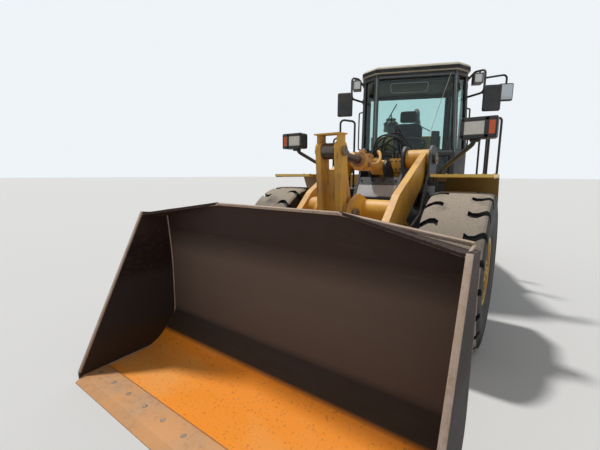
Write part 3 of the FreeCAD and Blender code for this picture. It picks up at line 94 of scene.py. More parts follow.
@dataclass(frozen=True)
class Paint:
    """A worn finish: patches, streaks, dust on faces that look up, worn edges and small bumps, and, if a
    height is given, mud brown below it that is partly painted shade.
    """

    name: str
    colour: Colour
    shade: Colour
    roughness: float = 0.5
    metallic: float = 0.0
    dust: Colour = (0.50, 0.36, 0.22)
    dust_amount: float = 0.3
    top_dust: float = 0.3
    stain: Colour = (0.10, 0.045, 0.02)
    stain_amount: float = 0.3
    edge: Colour = (0.30, 0.20, 0.13)
    edge_amount: float = 0.5
    scale: float = 3.0
    bump: float = 0.12
    round_edge: float = 0.004
    coat: float = 0.0
    # Mud brown and the height below which it is laid: partly mud, partly painted shade.
    mud_and_shade: Colour = (0.15, 0.075, 0.022)
    mud_and_shade_height: float = 0.0
    mud_and_shade_fade: float = 0.008

    def build(self) -> bpy.types.Material:
        """Make the material.

        Returns:
            The finished material.
        """
        material, tree, shader = begin(self.name)
        shader.inputs["Metallic"].default_value = self.metallic
        shader.inputs["Coat Weight"].default_value = self.coat
        big = noise(tree, self.scale, 5.0)
        fine = noise(tree, self.scale * 14.0, 4.0)
        streaks = noise(tree, self.scale * 2.2, 5.0, stretch=(3.0, 3.0, 0.35))
        colour = mix(tree, ramp(tree, big, 0.38, 0.66, 0.8), self.colour, self.shade)
        stain = product(tree, ramp(tree, streaks, 0.52, 0.68, self.stain_amount),
                        ramp(tree, big, 0.35, 0.6, 1.0))
        colour = mix(tree, stain, colour, self.stain)
        dust = total(tree, ramp(tree, big, 0.45, 0.7, self.dust_amount),
                     ramp(tree, facing_up(tree), 0.35, 0.95, self.top_dust))
        dust = product(tree, dust, ramp(tree, fine, 0.25, 0.6, 1.0))
        colour = mix(tree, dust, colour, self.dust)
        # Below the height the colour turns mud brown: partly mud, partly painted shade.
        if self.mud_and_shade_height:
            _, _, height = place_axes(tree)
            mud_and_shade_share = ramp(tree, height, self.mud_and_shade_height, self.mud_and_shade_height - self.mud_and_shade_fade, 0.85)
            colour = mix(tree, mud_and_shade_share, colour, self.mud_and_shade)
        normal, worn = edges(tree, self.round_edge)
        worn = product(tree, worn, ramp(tree, fine, 0.42, 0.6, self.edge_amount))
        colour = mix(tree, worn, colour, self.edge)
        tree.links.new(colour, shader.inputs["Base Color"])
        rough = spread(tree, dust, self.roughness, min(1.0, self.roughness + 0.35))
        tree.links.new(rough, shader.inputs["Roughness"])
        bumps(tree, shader, fine, self.bump, 0.004, normal)
        return material


@dataclass(frozen=True)
class BucketSteel:
    """Scraped bucket steel: brown and blue-grey bands up the back, darkened to paint the shade inside the
    bucket as well as the steel's own tones, and fresh orange rust on the floor.
    """

    name: str = "scraped bucket steel with painted shade"
    pivot: Point = (0.0, 0.0, 0.0)
    # The band colours high, middle, low and foot and the scrape colours are darkened far below the steel's own
    # tone: painted shade inside the bucket.
    high: Colour = (0.034, 0.018, 0.013)
    middle: Colour = (0.012, 0.005, 0.004)
    low: Colour = (0.024, 0.020, 0.020)
    foot: Colour = (0.040, 0.021, 0.010)
    floor: Colour = (0.86, 0.27, 0.018)
    pale: Colour = (0.78, 0.40, 0.13)
    clot: Colour = (0.20, 0.085, 0.03)
    scrape: Colour = (0.036, 0.018, 0.011)
    bare: Colour = (0.09, 0.055, 0.04)
    worn: Colour = (0.40, 0.32, 0.27)
    outside: Colour = (0.17, 0.12, 0.09)
    band_heights: Pair = (0.11, 1.50)
    floor_heights: Pair = (0.17, 0.14)
    back_y: Pair = (-3.418, -3.398)

    def build(self) -> bpy.types.Material:
        """Make the material.

        Returns:
            The finished material.
        """
        material, tree, shader = begin(self.name)
        shader.inputs["Specular IOR Level"].default_value = 0.25
        wide = noise(tree, 1.6, 4.0, stretch=(0.5, 1.0, 2.0))
        scrapes = noise(tree, 5.0, 6.0, stretch=(0.6, 3.0, 5.0))
        fine = noise(tree, 45.0, 4.0)
        _, across, height = place_axes(tree)
        wavy = total(tree, height, ramp(tree, wide, 0.0, 1.0, 0.22))
        # Bands up the back by height: their dark colours are painted shade as well as scraped steel.
        bands = tree.nodes.new("ShaderNodeValToRGB")
        stops = bands.color_ramp.elements
        rows = ((0.03, self.foot), (0.16, self.foot), (0.27, self.low), (0.52, self.low), (0.60, self.middle),
                (0.78, self.middle), (0.90, self.high))
        stops[0].position, stops[0].color = rows[0][0], (*rows[0][1], 1.0)
        stops[1].position, stops[1].color = rows[-1][0], (*rows[-1][1], 1.0)
        for position, colour in rows[1:-1]:
            stops.new(position).color = (*colour, 1.0)
        tree.links.new(ramp(tree, wavy, *self.band_heights, 1.0), bands.inputs["Fac"])
        colour = mix(tree, ramp(tree, scrapes, 0.42, 0.66, 0.55), bands.outputs["Color"], self.scrape)
        colour = mix(tree, ramp(tree, scrapes, 0.60, 0.70, 0.22), colour, self.bare)
        rust = mix(tree, ramp(tree, wide, 0.48, 0.66, 0.5), self.floor, self.pale)
        rust = mix(tree, ramp(tree, fine, 0.60, 0.68, 0.5), rust, self.clot)
        low_place = ramp(tree, height, *self.floor_heights, 1.0)
        inside = ramp(tree, facing_up(tree), 0.55, 0.70, 1.0)
        colour = mix(tree, product(tree, low_place, inside), colour, rust)
        behind = ramp(tree, across, self.pivot[1] + self.back_y[0], self.pivot[1] + self.back_y[1], 0.75)
        colour = mix(tree, behind, colour, self.outside)
        normal, rubbed = edges(tree, 0.006)
        colour = mix(tree, product(tree, rubbed, ramp(tree, fine, 0.35, 0.6, 0.85)), colour, self.worn)
        tree.links.new(colour, shader.inputs["Base Color"])
        tree.links.new(spread(tree, scrapes, 0.55, 0.85), shader.inputs["Roughness"])
        bumps(tree, shader, fine, 0.25, 0.004, normal)
        return material


@dataclass(frozen=True)
class Rubber:
    """Tyre rubber: black in the grooves, dusty where it has run on the ground."""

    name: str
    colour: Colour = (0.016, 0.016, 0.017)
    dust: Colour = (0.30, 0.255, 0.20)
    dust_amount: float = 0.3
    patches: Pair = (0.42, 0.72)
    scale: float = 5.0

    def build(self) -> bpy.types.Material:
        """Make the material.

        Returns:
            The finished material.
        """
        material, tree, shader = begin(self.name)
        shader.inputs["Specular IOR Level"].default_value = 0.25
        big = noise(tree, self.scale, 6.0)
        fine = noise(tree, 70.0, 4.0)
        dust = product(tree, ramp(tree, big, *self.patches, self.dust_amount),
                       ramp(tree, fine, 0.05, 0.45, 1.0))
        colour = mix(tree, dust, self.colour, self.dust)
        tree.links.new(colour, shader.inputs["Base Color"])
        tree.links.new(spread(tree, dust, 0.62, 0.95), shader.inputs["Roughness"])
        bumps(tree, shader, fine, 0.3, 0.003, None)
        return material


@dataclass(frozen=True)
class Cloth:
    """Woven seat cloth with a fine cross weave and a soft sheen."""

    name: str
    colour: Colour
    fleck: Colour
    soil: Colour = (0.12, 0.10, 0.08)
    pitch: float = 900.0

    def build(self) -> bpy.types.Material:
        """Make the material.

        Returns:
            The finished material.
        """
        material, tree, shader = begin(self.name)
        shader.inputs["Roughness"].default_value = 0.9
        shader.inputs["Sheen Weight"].default_value = 0.4
        weave = product(tree, *(waves(tree, axis, self.pitch, distortion=0.6) for axis in ("X", "Z")))
        colour = mix(tree, ramp(tree, weave, 0.2, 0.9, 0.6), self.colour, self.fleck)
        colour = mix(tree, ramp(tree, noise(tree, 9.0, 4.0), 0.5, 0.75, 0.25), colour, self.soil)
        tree.links.new(colour, shader.inputs["Base Color"])
        bumps(tree, shader, weave, 0.35, 0.0015, None)
        return material


@dataclass(frozen=True)
class Clear:
    """Tinted glass, a lamp lens or a mirror: smooth, with a film of dust and fine ribs if it has them."""

    name: str
    colour: Colour
    roughness: float = 0.05
    metallic: float = 0.0
    transmission: float = 0.0
    ior: float = 1.45
    film: Colour = (0.5, 0.47, 0.42)
    film_amount: float = 0.08
    ribs: float = 0.0
    rib_pitch: float = 260.0

    def build(self) -> bpy.types.Material:
        """Make the material.

        Returns:
            The finished material.
        """
        material, tree, shader = begin(self.name)
        shader.inputs["Metallic"].default_value = self.metallic
        shader.inputs["Transmission Weight"].default_value = self.transmission
        shader.inputs["IOR"].default_value = self.ior
        dirt = noise(tree, 4.0, 5.0)
        colour = mix(tree, ramp(tree, dirt, 0.45, 0.75, self.film_amount), self.colour, self.film)
        tree.links.new(colour, shader.inputs["Base Color"])
        rough = spread(tree, dirt, self.roughness, self.roughness + self.film_amount)
        tree.links.new(rough, shader.inputs["Roughness"])
        if self.ribs:
            bumps(tree, shader, waves(tree, "X", self.rib_pitch), self.ribs, 0.004, None)
        return material


@dataclass(frozen=True)
class Grille:
    """Dark plate whose surface is a fine pattern: cooling fins, mesh or raised tread studs."""

    name: str
    colour: Colour
    pitch: float
    depth: float
    dust: Colour = (0.32, 0.26, 0.19)
    dust_amount: float = 0.4
    rubbed: Colour = (0.16, 0.15, 0.14)
    crossed: bool = True

    def build(self) -> bpy.types.Material:
        """Make the material.

        Returns:
            The finished material.
        """
        material, tree, shader = begin(self.name)
        if self.crossed:
            pattern = product(tree, *(waves(tree, axis, self.pitch, turn=45.0) for axis in ("X", "Y")))
        else:
            pattern = waves(tree, "Z", self.pitch)
        dirt = noise(tree, 4.0, 5.0)
        dust = total(tree, ramp(tree, dirt, 0.4, 0.7, self.dust_amount),
                     ramp(tree, facing_up(tree), 0.5, 1.0, self.dust_amount * 0.5))
        colour = mix(tree, dust, self.colour, self.dust)
        colour = mix(tree, ramp(tree, pattern, 0.55, 0.75, 0.35), colour, self.rubbed)
        tree.links.new(colour, shader.inputs["Base Color"])
        tree.links.new(spread(tree, dust, 0.5, 0.85), shader.inputs["Roughness"])
        bumps(tree, shader, pattern, 0.6, self.depth, None)
        return material


def begin(name: str) -> tuple[bpy.types.Material, Tree, bpy.types.Node]:
    """Start a material.

    Args:
        name: Its name.

    Returns:
        The material, its tree and its shader.
    """
    material = bpy.data.materials.new(name)
    material.use_nodes = True
    return material, material.node_tree, material.node_tree.nodes["Principled BSDF"]


def waves(tree: Tree, axis: str, pitch: float, turn: float = 0.0, distortion: float = 0.0) -> Socket:
    """Even bands on Object coordinates.

    Args:
        tree: The material's tree.
        axis: The axis that the bands follow one another along.
        pitch: How close they stand: a metre holds about half as many bands.
        turn: How far they are turned about Z, in degrees.
        distortion: How far they waver.

    Returns:
        Their height, from nothing to one.
    """
    mapping = tree.nodes.new("ShaderNodeMapping")
    mapping.inputs["Rotation"].default_value = (0.0, 0.0, math.radians(turn))
    tree.links.new(tree.nodes.new("ShaderNodeTexCoord").outputs["Object"], mapping.inputs["Vector"])
    wave = tree.nodes.new("ShaderNodeTexWave")
    wave.bands_direction = axis
    wave.inputs["Scale"].default_value = pitch / math.tau
    wave.inputs["Distortion"].default_value = distortion
    tree.links.new(mapping.outputs["Vector"], wave.inputs["Vector"])
    return wave.outputs["Fac"]


def noise(tree: Tree, scale: float, detail: float, stretch: Point = (1.0, 1.0, 1.0)) -> Socket:
    """A noise on Object coordinates.

    Args:
        tree: The material's tree.
        scale: Noise scale, a metre being 1.
        detail: Noise detail.
        stretch: How fast the noise changes along each axis.

    Returns:
        Its value.
    """
    mapping = tree.nodes.new("ShaderNodeMapping")
    mapping.inputs["Scale"].default_value = stretch
    tree.links.new(tree.nodes.new("ShaderNodeTexCoord").outputs["Object"], mapping.inputs["Vector"])
    texture = tree.nodes.new("ShaderNodeTexNoise")
    texture.inputs["Scale"].default_value = scale
    texture.inputs["Detail"].default_value = detail
    tree.links.new(mapping.outputs["Vector"], texture.inputs["Vector"])
    return texture.outputs["Fac"]


def ramp(tree: Tree, value: Socket, low: float, high: float, top: float) -> Socket:
    """A clamped ramp from nothing to a share.

    Args:
        tree: The material's tree.
        value: The value that is mapped.
        low: Value that gives nothing.
        high: Value that gives all.
        top: The share at high.

    Returns:
        The share.
    """
    node = tree.nodes.new("ShaderNodeMapRange")
    node.inputs["From Min"].default_value = low
    node.inputs["From Max"].default_value = high
    node.inputs["To Max"].default_value = top
    tree.links.new(value, node.inputs["Value"])
    return node.outputs["Result"]


def spread(tree: Tree, value: Socket, low: float, high: float) -> Socket:
    """A value from nothing to one, spread between two numbers.

    Args:
        tree: The material's tree.
        value: The value.
        low: What nothing becomes.
        high: What one becomes.

    Returns:
        The spread value.
    """
    node = tree.nodes.new("ShaderNodeMapRange")
    node.inputs["To Min"].default_value = low
    node.inputs["To Max"].default_value = high
    tree.links.new(value, node.inputs["Value"])
    return node.outputs["Result"]


def mix(tree: Tree, share: Socket, first: Socket | Colour,
        second: Socket | Colour) -> Socket:
    """Blend two colours.

    Args:
        tree: The material's tree.
        share: Share of the second colour.
        first: A colour or a colour's socket.
        second: The same.

    Returns:
        The blend.
    """
    node = tree.nodes.new("ShaderNodeMix")
    node.data_type = "RGBA"
    tree.links.new(share, node.inputs["Factor"])
    for name, colour in (("A", first), ("B", second)):
        socket = next(i for i in node.inputs if i.name == name and i.type == "RGBA")
        if isinstance(colour, tuple):
            socket.default_value = (*colour, 1.0)
        else:
            tree.links.new(colour, socket)
    return next(o for o in node.outputs if o.type == "RGBA")


def arithmetic(tree: Tree, operation: str, a: Socket, b: Socket, clamped: bool = False) -> Socket:
    """One operation on two values.

    Args:
        tree: The material's or the world's tree.
        operation: Name of the math operation.
        a: First value.
        b: Second value.
        clamped: Whether the result is kept between 0 and 1.

    Returns:
        The result.
    """
    node = tree.nodes.new("ShaderNodeMath")
    node.operation = operation
    node.use_clamp = clamped
    tree.links.new(a, node.inputs[0])
    tree.links.new(b, node.inputs[1])
    return node.outputs[0]


def product(tree: Tree, a: Socket, b: Socket) -> Socket:
    """Two shares multiplied, kept between 0 and 1."""
    return arithmetic(tree, "MULTIPLY", a, b, clamped=True)


def total(tree: Tree, a: Socket, b: Socket) -> Socket:
    """Two values added, not clamped."""
    return arithmetic(tree, "ADD", a, b)


def facing_up(tree: Tree) -> Socket:
    """How far a face looks up: the normal's height."""
    geometry = tree.nodes.new("ShaderNodeNewGeometry")
    split = tree.nodes.new("ShaderNodeSeparateXYZ")
    tree.links.new(geometry.outputs["Normal"], split.inputs[0])
    return split.outputs["Z"]


def place_axes(tree: Tree) -> tuple[Socket, Socket, Socket]:
    """The three Object coordinates of the surface."""
    split = tree.nodes.new("ShaderNodeSeparateXYZ")
    tree.links.new(tree.nodes.new("ShaderNodeTexCoord").outputs["Object"], split.inputs[0])
    return split.outputs["X"], split.outputs["Y"], split.outputs["Z"]


def edges(tree: Tree, radius: float) -> tuple[Socket, Socket]:
    """Softened edges: the rounded normal, and how near an edge the surface is.

    Args:
        tree: The material's tree.
        radius: Width of the rounding, in metres.

    Returns:
        The normal and a share that is one at an edge.
    """
    bevel = tree.nodes.new("ShaderNodeBevel")
    bevel.samples = 4
    bevel.inputs["Radius"].default_value = radius
    geometry = tree.nodes.new("ShaderNodeNewGeometry")
    dot = tree.nodes.new("ShaderNodeVectorMath")
    dot.operation = "DOT_PRODUCT"
    tree.links.new(bevel.outputs["Normal"], dot.inputs[0])
    tree.links.new(geometry.outputs["Normal"], dot.inputs[1])
    return bevel.outputs["Normal"], ramp(tree, dot.outputs["Value"], 0.995, 0.86, 1.0)


def bumps(tree: Tree, shader: bpy.types.Node, height: Socket, strength: float,
          distance: float, normal: Socket | None) -> None:
    """Give a shader small bumps.

    Args:
        tree: The material's tree.
        shader: The shader.
        height: Height of the bumps, from nothing to one.
        strength: Strength of the bumps.
        distance: Depth of the bumps, in metres.
        normal: The normal that the bumps start from, if it isn't the surface's own.
    """
    bump = tree.nodes.new("ShaderNodeBump")
    bump.inputs["Strength"].default_value = strength
    bump.inputs["Distance"].default_value = distance
    tree.links.new(height, bump.inputs["Height"])
    if normal is not None:
        tree.links.new(normal, bump.inputs["Normal"])
    tree.links.new(bump.outputs["Normal"], shader.inputs["Normal"])


YELLOW = (0.84, 0.44, 0.05)
YELLOW_SHADE = (0.68, 0.31, 0.045)
FINISHES = {
    "yellow": Paint("worn yellow paint", YELLOW, YELLOW_SHADE, roughness=0.45, dust_amount=0.3, top_dust=0.35,
                    stain_amount=0.45, edge=(0.30, 0.14, 0.06)),
    # The fender's yellow turns mud brown below 1.752 m: painted shade on the face under its front strip,
    # partly mud.
    "bright_yellow": Paint("fender yellow", (0.92, 0.64, 0.14), (0.84, 0.52, 0.09), roughness=0.4,
                           dust_amount=0.2, top_dust=0.05, stain_amount=0.25, edge=(0.40, 0.20, 0.07),
                           mud_and_shade_height=1.752),
    "crank_yellow": Paint("scraped yellow paint", (0.78, 0.41, 0.06), (0.58, 0.28, 0.06), roughness=0.55,
                          dust_amount=0.35, stain=(0.05, 0.028, 0.018), stain_amount=0.9,
                          edge=(0.24, 0.11, 0.05), edge_amount=0.9, scale=4.5),
    "rusty_plate": Paint("rusty guard", (0.42, 0.21, 0.10), (0.26, 0.12, 0.06), roughness=0.75,
                         stain_amount=0.6, edge=(0.42, 0.30, 0.20), edge_amount=0.9, scale=7.0, bump=0.3),
    "rim_yellow": Paint("rim yellow", (0.64, 0.37, 0.05), (0.52, 0.28, 0.05), roughness=0.5, dust_amount=0.55,
                        stain_amount=0.35, scale=4.0),
    "dark": Paint("dark chassis paint", (0.022, 0.025, 0.034), (0.035, 0.036, 0.042), roughness=0.5,
                  dust_amount=0.25, top_dust=0.3, stain=(0.09, 0.06, 0.04), stain_amount=0.3,
                  edge=(0.14, 0.11, 0.09)),
    "cab_black": Paint("cab post black", (0.016, 0.018, 0.020), (0.024, 0.027, 0.029), roughness=0.42,
                       dust_amount=0.15, top_dust=0.2, stain_amount=0.1, edge=(0.09, 0.085, 0.08),
                       edge_amount=0.4),
    "frame_navy": Paint("front frame navy", (0.018, 0.024, 0.040), (0.028, 0.033, 0.046), roughness=0.5,
                        dust_amount=0.35, top_dust=0.65, dust=(0.36, 0.34, 0.31), stain_amount=0.35),
    "worn_edge": Paint("worn bucket lip", (0.42, 0.32, 0.26), (0.33, 0.23, 0.17), roughness=0.6, metallic=0.15,
                       dust_amount=0.3, stain=(0.20, 0.10, 0.05), stain_amount=0.6, edge=(0.55, 0.45, 0.38),
                       scale=8.0),
    "edge_steel": Paint("cutting edge steel", (0.55, 0.24, 0.07), (0.40, 0.20, 0.09), roughness=0.5,
                        metallic=0.3, dust_amount=0.2, stain_amount=0.4, edge=(0.50, 0.46, 0.42),
                        edge_amount=0.9),
    "rod": Paint("rod chrome", (0.50, 0.50, 0.51), (0.40, 0.39, 0.38), roughness=0.16, metallic=1.0,
                 dust_amount=0.12, top_dust=0.06, stain_amount=0.12, edge_amount=0.1, bump=0.02),
    "dark_rod": Paint("oily rod", (0.14, 0.115, 0.10), (0.07, 0.05, 0.045), roughness=0.35, metallic=0.8,
                      dust_amount=0.3, stain_amount=0.5),
    "pin": Paint("pin steel", (0.22, 0.18, 0.15), (0.13, 0.09, 0.07), roughness=0.45, metallic=0.7),
    "bolt": Paint("bolt steel", (0.20, 0.17, 0.14), (0.12, 0.09, 0.07), roughness=0.45, metallic=0.7,
                  edge=(0.35, 0.32, 0.28)),
    "casting": Paint("dusty casting", (0.035, 0.033, 0.032), (0.055, 0.045, 0.037), roughness=0.65,
                     dust_amount=0.55, top_dust=0.4, scale=5.0, bump=0.3),
    "tyre": Rubber("tyre side rubber", colour=(0.010, 0.010, 0.010), dust_amount=0.14),
    "tread": Rubber("dusty tread", dust=(0.40, 0.335, 0.26), dust_amount=0.93, patches=(0.15, 0.5), scale=4.0),
    "groove": Rubber("groove rubber", dust_amount=0.06),
    "hose": Rubber("hose rubber", dust_amount=0.18, scale=9.0),
    "seal": Rubber("window seal", dust_amount=0.12, scale=9.0),
    "roof": Paint("roof paint", (0.74, 0.69, 0.57), (0.66, 0.60, 0.48), roughness=0.5, dust_amount=0.15,
                  top_dust=0.1, stain=(0.35, 0.25, 0.15), stain_amount=0.15, edge=(0.5, 0.42, 0.32),
                  edge_amount=0.3),
    "glass": Clear("green cab glass", (0.66, 0.83, 0.81), roughness=0.01, transmission=1.0, ior=1.3,
                   film_amount=0.05),
    "lens": Clear("lamp lens", (0.80, 0.79, 0.72), roughness=0.12, ribs=0.5, film_amount=0.1),
    "work_lens": Clear("work lamp lens", (0.62, 0.64, 0.62), roughness=0.15, metallic=0.3, ribs=0.3),
    "mirror": Clear("mirror glass", (0.40, 0.42, 0.43), roughness=0.12, metallic=1.0, film_amount=0.15),
    "orange": Clear("signal orange", (0.80, 0.13, 0.03), roughness=0.15, ribs=0.5, rib_pitch=420.0),
    "red": Clear("tail red", (0.50, 0.015, 0.012), roughness=0.15, ribs=0.5, rib_pitch=420.0),
    "lamp_black": Paint("black plastic", (0.014, 0.014, 0.016), (0.020, 0.020, 0.021), roughness=0.45,
                        dust_amount=0.12, top_dust=0.2, stain_amount=0.1, edge=(0.07, 0.07, 0.07),
                        edge_amount=0.4),
    "seat": Cloth("seat cloth", (0.018, 0.020, 0.024), (0.050, 0.052, 0.058)),
    "piping": Cloth("seat piping", (0.012, 0.012, 0.013), (0.03, 0.03, 0.03), pitch=1400.0),
    "interior": Paint("grained trim", (0.030, 0.031, 0.034), (0.040, 0.041, 0.044), roughness=0.6,
                      dust_amount=0.12, top_dust=0.1, stain_amount=0.05, edge=(0.08, 0.08, 0.08),
                      edge_amount=0.3, bump=0.25),
    "screen": Clear("display glass", (0.01, 0.012, 0.016), roughness=0.08, film_amount=0.1),
    "studs": Grille("tread plate", (0.045, 0.045, 0.048), pitch=120.0, depth=0.004),
    "mesh": Grille("radiator fins", (0.02, 0.02, 0.022), pitch=700.0, depth=0.003, crossed=False),
    "cover_grey": Paint("dusty cover", (0.56, 0.57, 0.58), (0.44, 0.45, 0.46), roughness=0.8,
                        dust=(0.40, 0.37, 0.33), dust_amount=0.5, stain_amount=0.35),
    "band": Paint("screen border band", (0.030, 0.040, 0.048), (0.040, 0.050, 0.058), roughness=0.12,
                  dust_amount=0.12, stain_amount=0.0, bump=0.0, coat=0.5),
    "mint": Paint("glass edge", (0.30, 0.42, 0.38), (0.24, 0.34, 0.31), roughness=0.2, dust_amount=0.1,
                  stain_amount=0.0),
    "blank_plate": Paint("plate blank", (0.60, 0.58, 0.52), (0.5, 0.48, 0.42)),
}


def spot(at: Point, along: Point = (0.0, 0.0, 1.0)) -> Matrix:
    """The place whose Z runs along a direction.

    Args:
        at: Its origin.
        along: The direction.

    Returns:
        The place's matrix.
    """
    return Matrix.Translation(Vector(at)) @ Vector(along).to_track_quat("Z", "Y").to_matrix().to_4x4()


def upright(at: Point, along: Point) -> Matrix:
    """The place whose Z runs along a direction in the machine's YZ plane and whose X is the machine's X.

    Args:
        at: Its origin.
        along: The direction.

    Returns:
        The place's matrix.
    """
    z = Vector(along).normalized()
    x = Vector((1.0, 0.0, 0.0))
    turned = Matrix((x, z.cross(x).normalized(), z)).transposed().to_4x4()
    return Matrix.Translation(Vector(at)) @ turned


def line_axes(start: Pair, end: Pair) -> tuple[Vector, Vector]:
    """The directions of a line between two places of the machine's YZ plane.

    Args:
        start: Its start, as (y, z).
        end: Its end.

    Returns:
        The direction along it, and the one square to it that looks up.
    """
    along = Vector((0, end[0] - start[0], end[1] - start[1])).normalized()
    up = Vector((0, -along.z, along.y))
    return along, up if up.z > 0 else -up


def soften(bm: Mesh, edge_list: list, width: float, segments: int = 2) -> None:
    """Round edges.

    Args:
        bm: The mesh.
        edge_list: Its edges that are rounded.
        width: Width of the rounding.
        segments: Steps of the rounding.
    """
    bmesh.ops.bevel(bm, geom=edge_list, offset=width, affect="EDGES", segments=segments, profile=0.5,
                    material=-1)


def add_slab(bm: Mesh, size: Point, place: Matrix, edge: float = 0.0, segments: int = 2) -> None:
    """Add a block with rounded edges, centred on a place.

    Args:
        bm: The mesh it goes into.
        size: Its sizes along the place's axes.
        place: Where it stands.
        edge: Radius of its edges.
        segments: Steps of the rounding.
    """
    made = bmesh.ops.create_cube(bm, size=1.0, matrix=place @ Matrix.Diagonal((*size, 1.0)))
    if edge > 0.0:
        soften(bm, list({e for v in made["verts"] for e in v.link_edges}), edge, segments)


def add_block(bm: Mesh, low: Point, high: Point, edge: float = 0.0) -> None:
    """Add a block with rounded edges, between two corners.

    Args:
        bm: The mesh it goes into.
        low: Its low corner.
        high: Its high corner.
        edge: Radius of its edges.
    """
    low, high = Vector(low), Vector(high)
    add_slab(bm, tuple(high - low), Matrix.Translation((low + high) / 2), edge)


def add_rod(bm: Mesh, a: Point, b: Point, radius: float, tip: float | None = None, sides: int = 20,
            edge: float = 0.0) -> None:
    """Add a round bar or a cone between two points.

    Args:
        bm: The mesh it goes into.
        a: Its start.
        b: Its end.
        radius: Its radius.
        tip: Its radius at the end, if that differs.
        sides: Number of its sides.
        edge: Radius of its end edges.
    """
    a, b = Vector(a), Vector(b)
    made = bmesh.ops.create_cone(bm, cap_ends=True, segments=sides, radius1=radius,
                                 radius2=radius if tip is None else tip, depth=(b - a).length,
                                 matrix=spot((a + b) / 2, b - a))
    if edge > 0.0:
        rims = {e for v in made["verts"] for e in v.link_edges
                if any(len(f.verts) == sides for f in e.link_faces)}
        soften(bm, list(rims), edge)


def add_spin(bm: Mesh, profile: list, place: Matrix, steps: int = 40, closed: bool = False) -> None:
    """Turn a profile of (height, radius) about a place's Z.

    Args:
        bm: The mesh it goes into.
        profile: The profile's points.
        place: Where it stands.
        steps: Steps of the turn.
        closed: Whether the profile's ends are joined.
    """
    verts = [bm.verts.new(place @ Vector((radius, 0.0, height))) for height, radius in profile]
    pairs = list(zip(verts, verts[1:])) + ([(verts[-1], verts[0])] if closed else [])
    lines = [bm.edges.new(pair) for pair in pairs]
    bmesh.ops.spin(bm, geom=verts + lines, cent=place.translation, axis=place.to_3x3() @ Vector((0, 0, 1)),
                   angle=math.tau, steps=steps, use_merge=True, use_duplicate=False)
    bmesh.ops.remove_doubles(bm, verts=bm.verts, dist=0.01)


def add_bolt(bm: Mesh, at: Point, along: Point, width: float) -> None:
    """Add a washer and a hex head that stand on a face.

    Args:
        bm: The mesh they go into.
        at: The bolt's place on the face.
        along: Direction out of the face.
        width: Width of the head.
    """
    at, along = Vector(at), Vector(along).normalized()
    add_rod(bm, at - along * 1.0, at + along * width * 0.12, width * 0.72, sides=14)
    add_rod(bm, at + along * width * 0.1, at + along * width * 0.6, width * 0.56, tip=width * 0.50, sides=6)
    add_rod(bm, at + along * width * 0.6, at + along * width * 0.72, width * 0.27, sides=8)


def ring_of(centre: Point, along: Point, radius: float, count: int, start: float = 0.0) -> list:
    """Places spread round a circle.

    Args:
        centre: The circle's middle.
        along: The circle's axis.
        radius: Its radius.
        count: Number of places.
        start: Angle of the first, in degrees.

    Returns:
        The places.
    """
    place = spot(centre, along)
    turns = [math.radians(start) + math.tau * k / count for k in range(count)]
    return [place @ Vector((radius * math.cos(a), radius * math.sin(a), 0.0)) for a in turns]


